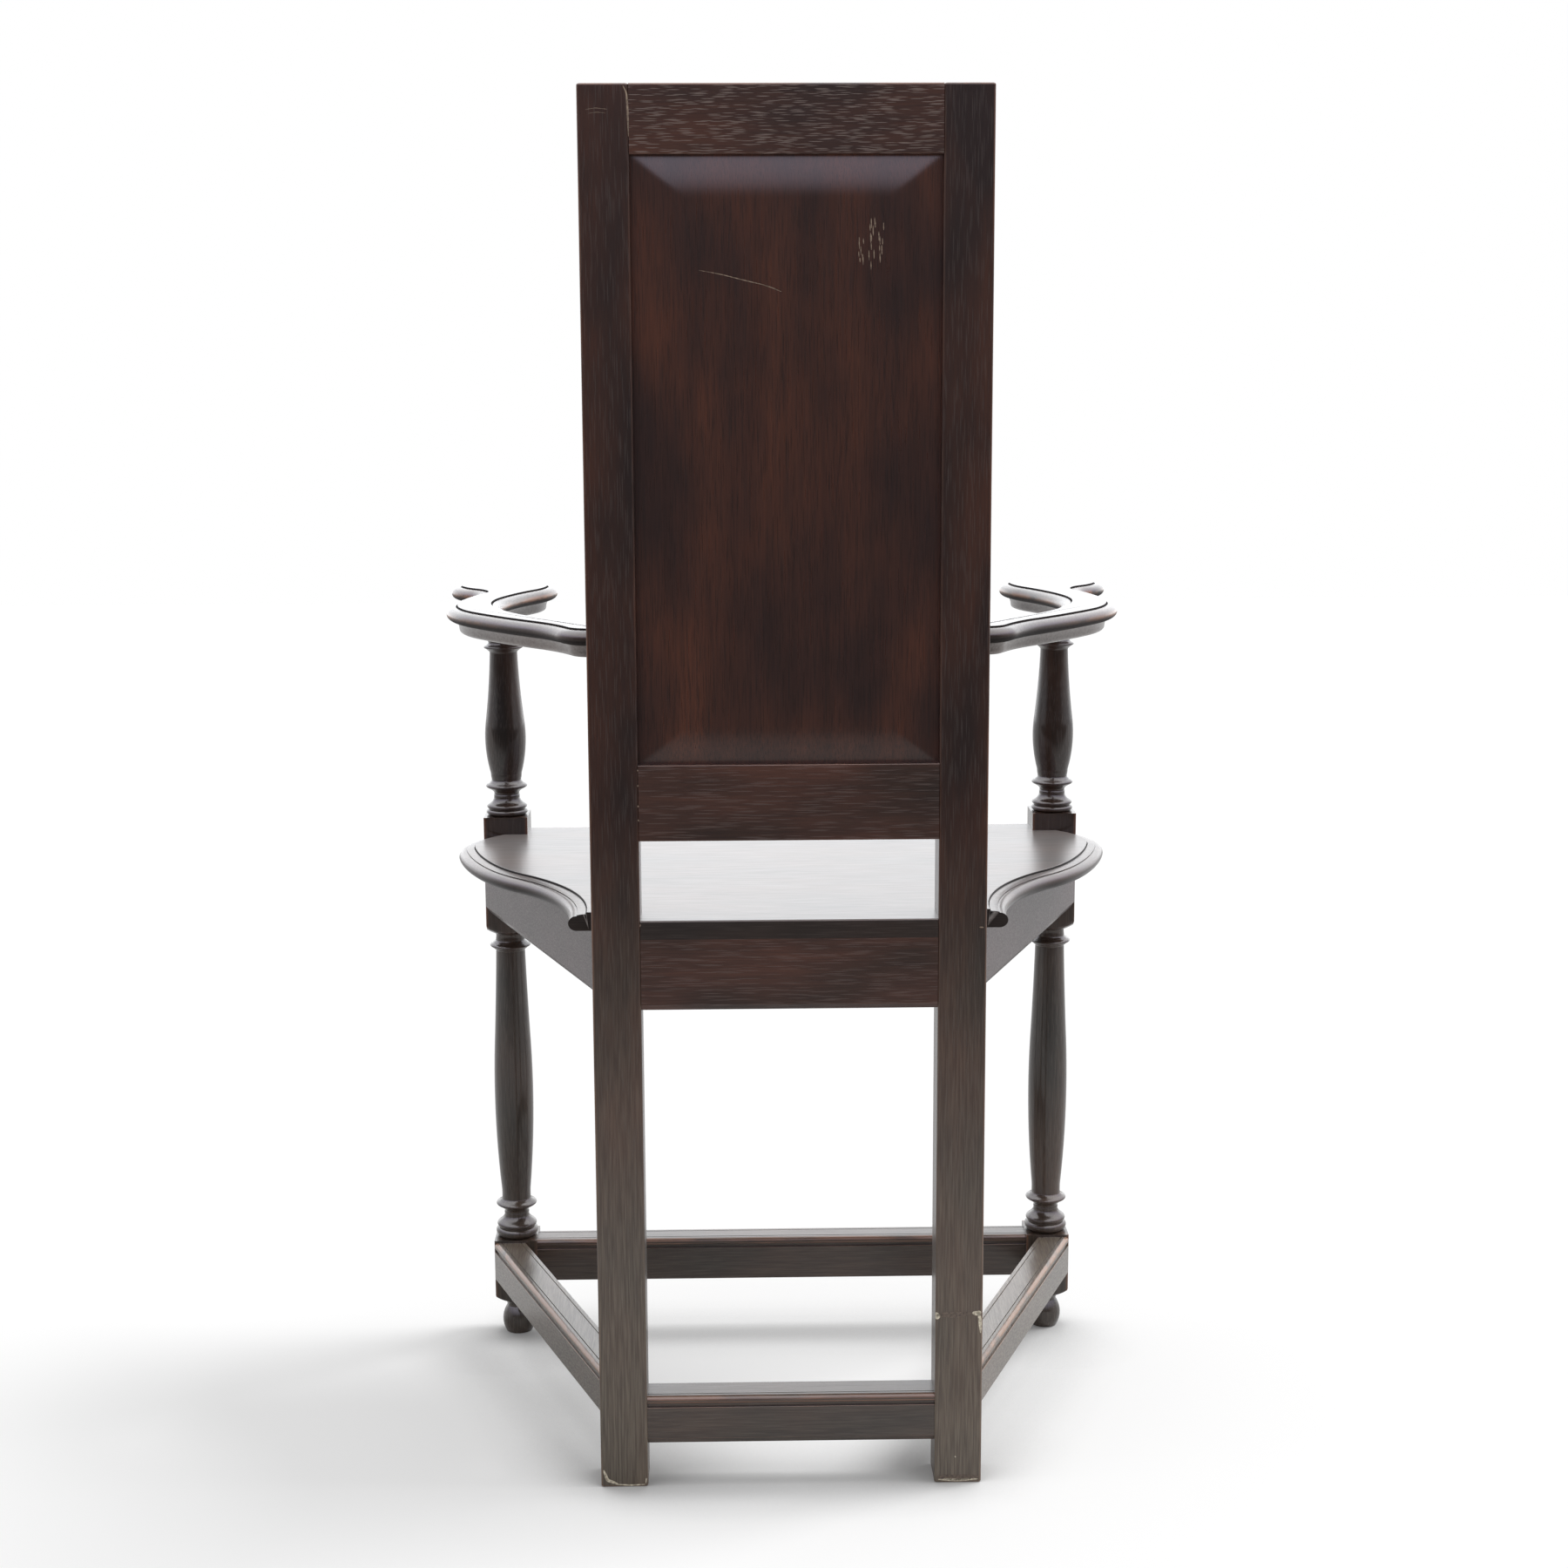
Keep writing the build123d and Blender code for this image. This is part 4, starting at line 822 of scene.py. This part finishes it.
# A scratch and a patch of open pores on the panel, the crest's left joint, scratches across the left
# post's top, and crumbs down the lower rail's left joint and at the seat's height on both posts
openings = np.random.default_rng(4).uniform((-0.0725, 0.962, 0.003), (-0.0525, 0.996, 0.008), (26, 3))
flecks("dry_wax",
       fleck([(0.0669, 0.9648), (0.0500, 0.9618), (0.0315, 0.9571), (0.0160, 0.9535), (0.0037, 0.9487)],
             0.0006, PANEL_FIELD),
       fleck([(0.0200, 0.9545), (0.0120, 0.9520), (0.0040, 0.9487)], 0.0008, PANEL_FIELD),
       *[fleck([(x, height), (x + 0.0002, height + rise)], 0.0007, PANEL_FIELD)
         for x, height, rise in openings],
       fleck([(0.1200, 1.0975), (0.1172, 1.0920), (0.1166, 1.0820), (0.1164, 1.0720), (0.1162, 1.0600)],
             0.0014),
       fleck([(0.1478, 1.0800), (0.1400, 1.0812), (0.1310, 1.0802)], 0.0004),
       fleck([(0.1460, 1.0772), (0.1390, 1.0782), (0.1320, 1.0774)], 0.0003),
       *[fleck([(0.1163, height), (0.1162, height + 0.0014)], 0.0010)
         for height in (0.588, 0.576, 0.560, 0.549)],
       fleck([(0.1162, 0.4655), (0.1158, 0.4675)], 0.0012),
       fleck([(-0.1480, 0.4630), (-0.1515, 0.4626)], 0.0010))

# ---- Floor, light and camera -------------------------------------------------------------------
# A pale floor in a bright plain room: daylight from high on the far right, a white room beyond the
# chair and overhead, and a dim one at the viewer's back.

FLOOR = 14.0                   # from the middle of the floor to its edges
SHADED = (0.7, 1.6)            # world Y over which the floor's mirror image darkens to the viewer
CONTACT = 0.11                 # how near to a foot or a rail the floor darkens
LIFT = 0.45                    # share of an even white glow in the floor, as the camera sees it

floor_mesh = bpy.data.meshes.new("floor")
floor_mesh.from_pydata([(x * FLOOR, y * FLOOR, 0) for x, y in ((-1, -1), (1, -1), (1, 1), (-1, 1))], [],
                       [(0, 1, 2, 3)])
floor = bpy.data.objects.new("floor", floor_mesh)
bpy.context.scene.collection.objects.link(floor)
# White floor paint, matt: no mirror image, and soft shade where the chair stands close to it
paint = bpy.data.materials.new("white_floor")
paint.use_nodes = True
boards = paint.node_tree
boards.nodes.clear()
place = add(boards, "ShaderNodeTexCoord").outputs["Object"]
away = add(boards, "ShaderNodeSeparateXYZ", {"Vector": place}).outputs["Y"]
unlit = add(boards, "ShaderNodeMapRange", {"Value": away, "From Min": SHADED[0], "From Max": SHADED[1],
                                           "To Min": 0.4})
rays = add(boards, "ShaderNodeLightPath").outputs
dim = add(boards, "ShaderNodeMath", {0: unlit, 1: rays["Is Glossy Ray"]}, operation="MULTIPLY")
shade = add(boards, "ShaderNodeMix", {"Factor": dim, 6: colour("#f6f6f6"), 7: colour("#2a2a2c")},
            data_type="RGBA")
matt = add(boards, "ShaderNodeBsdfDiffuse", {"Color": shade})
openness = add(boards, "ShaderNodeAmbientOcclusion", {"Distance": CONTACT}, samples=16).outputs["AO"]
contact = add(boards, "ShaderNodeMapRange", {"Value": openness, "From Min": 0.55, "From Max": 0.89,
                                             "To Min": 0.15})
glow = add(boards, "ShaderNodeEmission", {"Color": colour("#fafafa"), "Strength": contact})
lift = add(boards, "ShaderNodeMath", {0: rays["Is Camera Ray"], 1: LIFT}, operation="MULTIPLY")
fill = add(boards, "ShaderNodeMixShader", {0: lift, 1: matt, 2: glow})
add(boards, "ShaderNodeOutputMaterial", {"Surface": fill})
floor_mesh.materials.append(paint)

BACKDROP = (1, 1, 1, 1)
ROOM_LIGHT = (0.68, 0.68, 0.68, 1)      # what falls on matt surfaces from all round
# What polish mirrors, by where it looks
BEHIND_VIEWER = (0.04, 0.04, 0.04, 1)
SIDE_WALLS = (0.62, 0.62, 0.64, 1)
CEILING = (1.85, 1.8, 2.25, 1)
SKYLIGHT = (3.2, 3.2, 3.3, 1)
WALL_AHEAD = (1.85, 1.88, 1.92, 1)

world = bpy.data.worlds.new("room")
bpy.context.scene.world = world
world.use_nodes = True
room = world.node_tree
room.nodes.clear()
rays = add(room, "ShaderNodeLightPath").outputs
looking = add(room, "ShaderNodeTexCoord").outputs["Generated"]
towards = add(room, "ShaderNodeSeparateXYZ", {"Vector": looking}).outputs
sideways = add(room, "ShaderNodeMath", {0: towards["X"]}, operation="ABSOLUTE")
beside = add(room, "ShaderNodeMapRange", {"Value": sideways, "From Min": 0.6, "From Max": 0.92})
above = add(room, "ShaderNodeMapRange", {"Value": towards["Z"], "From Min": 0.16, "From Max": 0.48})
overhead = add(room, "ShaderNodeMapRange", {"Value": towards["Z"], "From Min": 0.45, "From Max": 0.8})
ahead = add(room, "ShaderNodeMapRange", {"Value": towards["Y"], "From Min": -0.25, "From Max": -0.8})
mirrored_room = BEHIND_VIEWER
for share, light in ((beside, SIDE_WALLS), (above, CEILING), (overhead, SKYLIGHT), (ahead, WALL_AHEAD)):
    mirrored_room = add(room, "ShaderNodeMix", {"Factor": share, 6: mirrored_room, 7: light},
                        data_type="RGBA")
plain = add(room, "ShaderNodeMix", {"Factor": rays["Is Camera Ray"], 6: ROOM_LIGHT, 7: BACKDROP},
            data_type="RGBA")
seen = add(room, "ShaderNodeMix", {"Factor": rays["Is Glossy Ray"], 6: plain, 7: mirrored_room},
           data_type="RGBA")
background = add(room, "ShaderNodeBackground", {"Color": seen, "Strength": 1.0})
add(room, "ShaderNodeOutputWorld", {"Surface": background})

SUN_POWER = 2.1
SUN_SPREAD = radians(26)       # a wide window's soft light
SUN_FROM = Vector((-0.75, -0.15, 1.0))
sun = bpy.data.lights.new("window", "SUN")
sun.energy = SUN_POWER
sun.angle = SUN_SPREAD
window = bpy.data.objects.new("window", sun)
bpy.context.scene.collection.objects.link(window)
window.rotation_euler = SUN_FROM.to_track_quat("Z", "Y").to_euler()
window.visible_glossy = False

CAMERA_AT = (0.04129, 2.05691, 0.81021)
CAMERA_AHEAD = Vector((-0.02005, -0.99195, -0.12504))
CAMERA_RIGHT = Vector((-0.99977, 0.02083, -0.00491))
LENS = 55.73
SENSOR = 36.0
camera = bpy.data.objects.new("camera", bpy.data.cameras.new("camera"))
bpy.context.scene.collection.objects.link(camera)
camera.data.sensor_fit = "HORIZONTAL"
camera.data.sensor_width = SENSOR
camera.data.lens = LENS
up = CAMERA_RIGHT.cross(CAMERA_AHEAD)
turn = Matrix((CAMERA_RIGHT, up, -CAMERA_AHEAD)).transposed()
camera.matrix_world = Matrix.Translation(CAMERA_AT) @ turn.to_4x4()
bpy.context.scene.camera = camera
bpy.context.scene.view_settings.view_transform = "Standard"
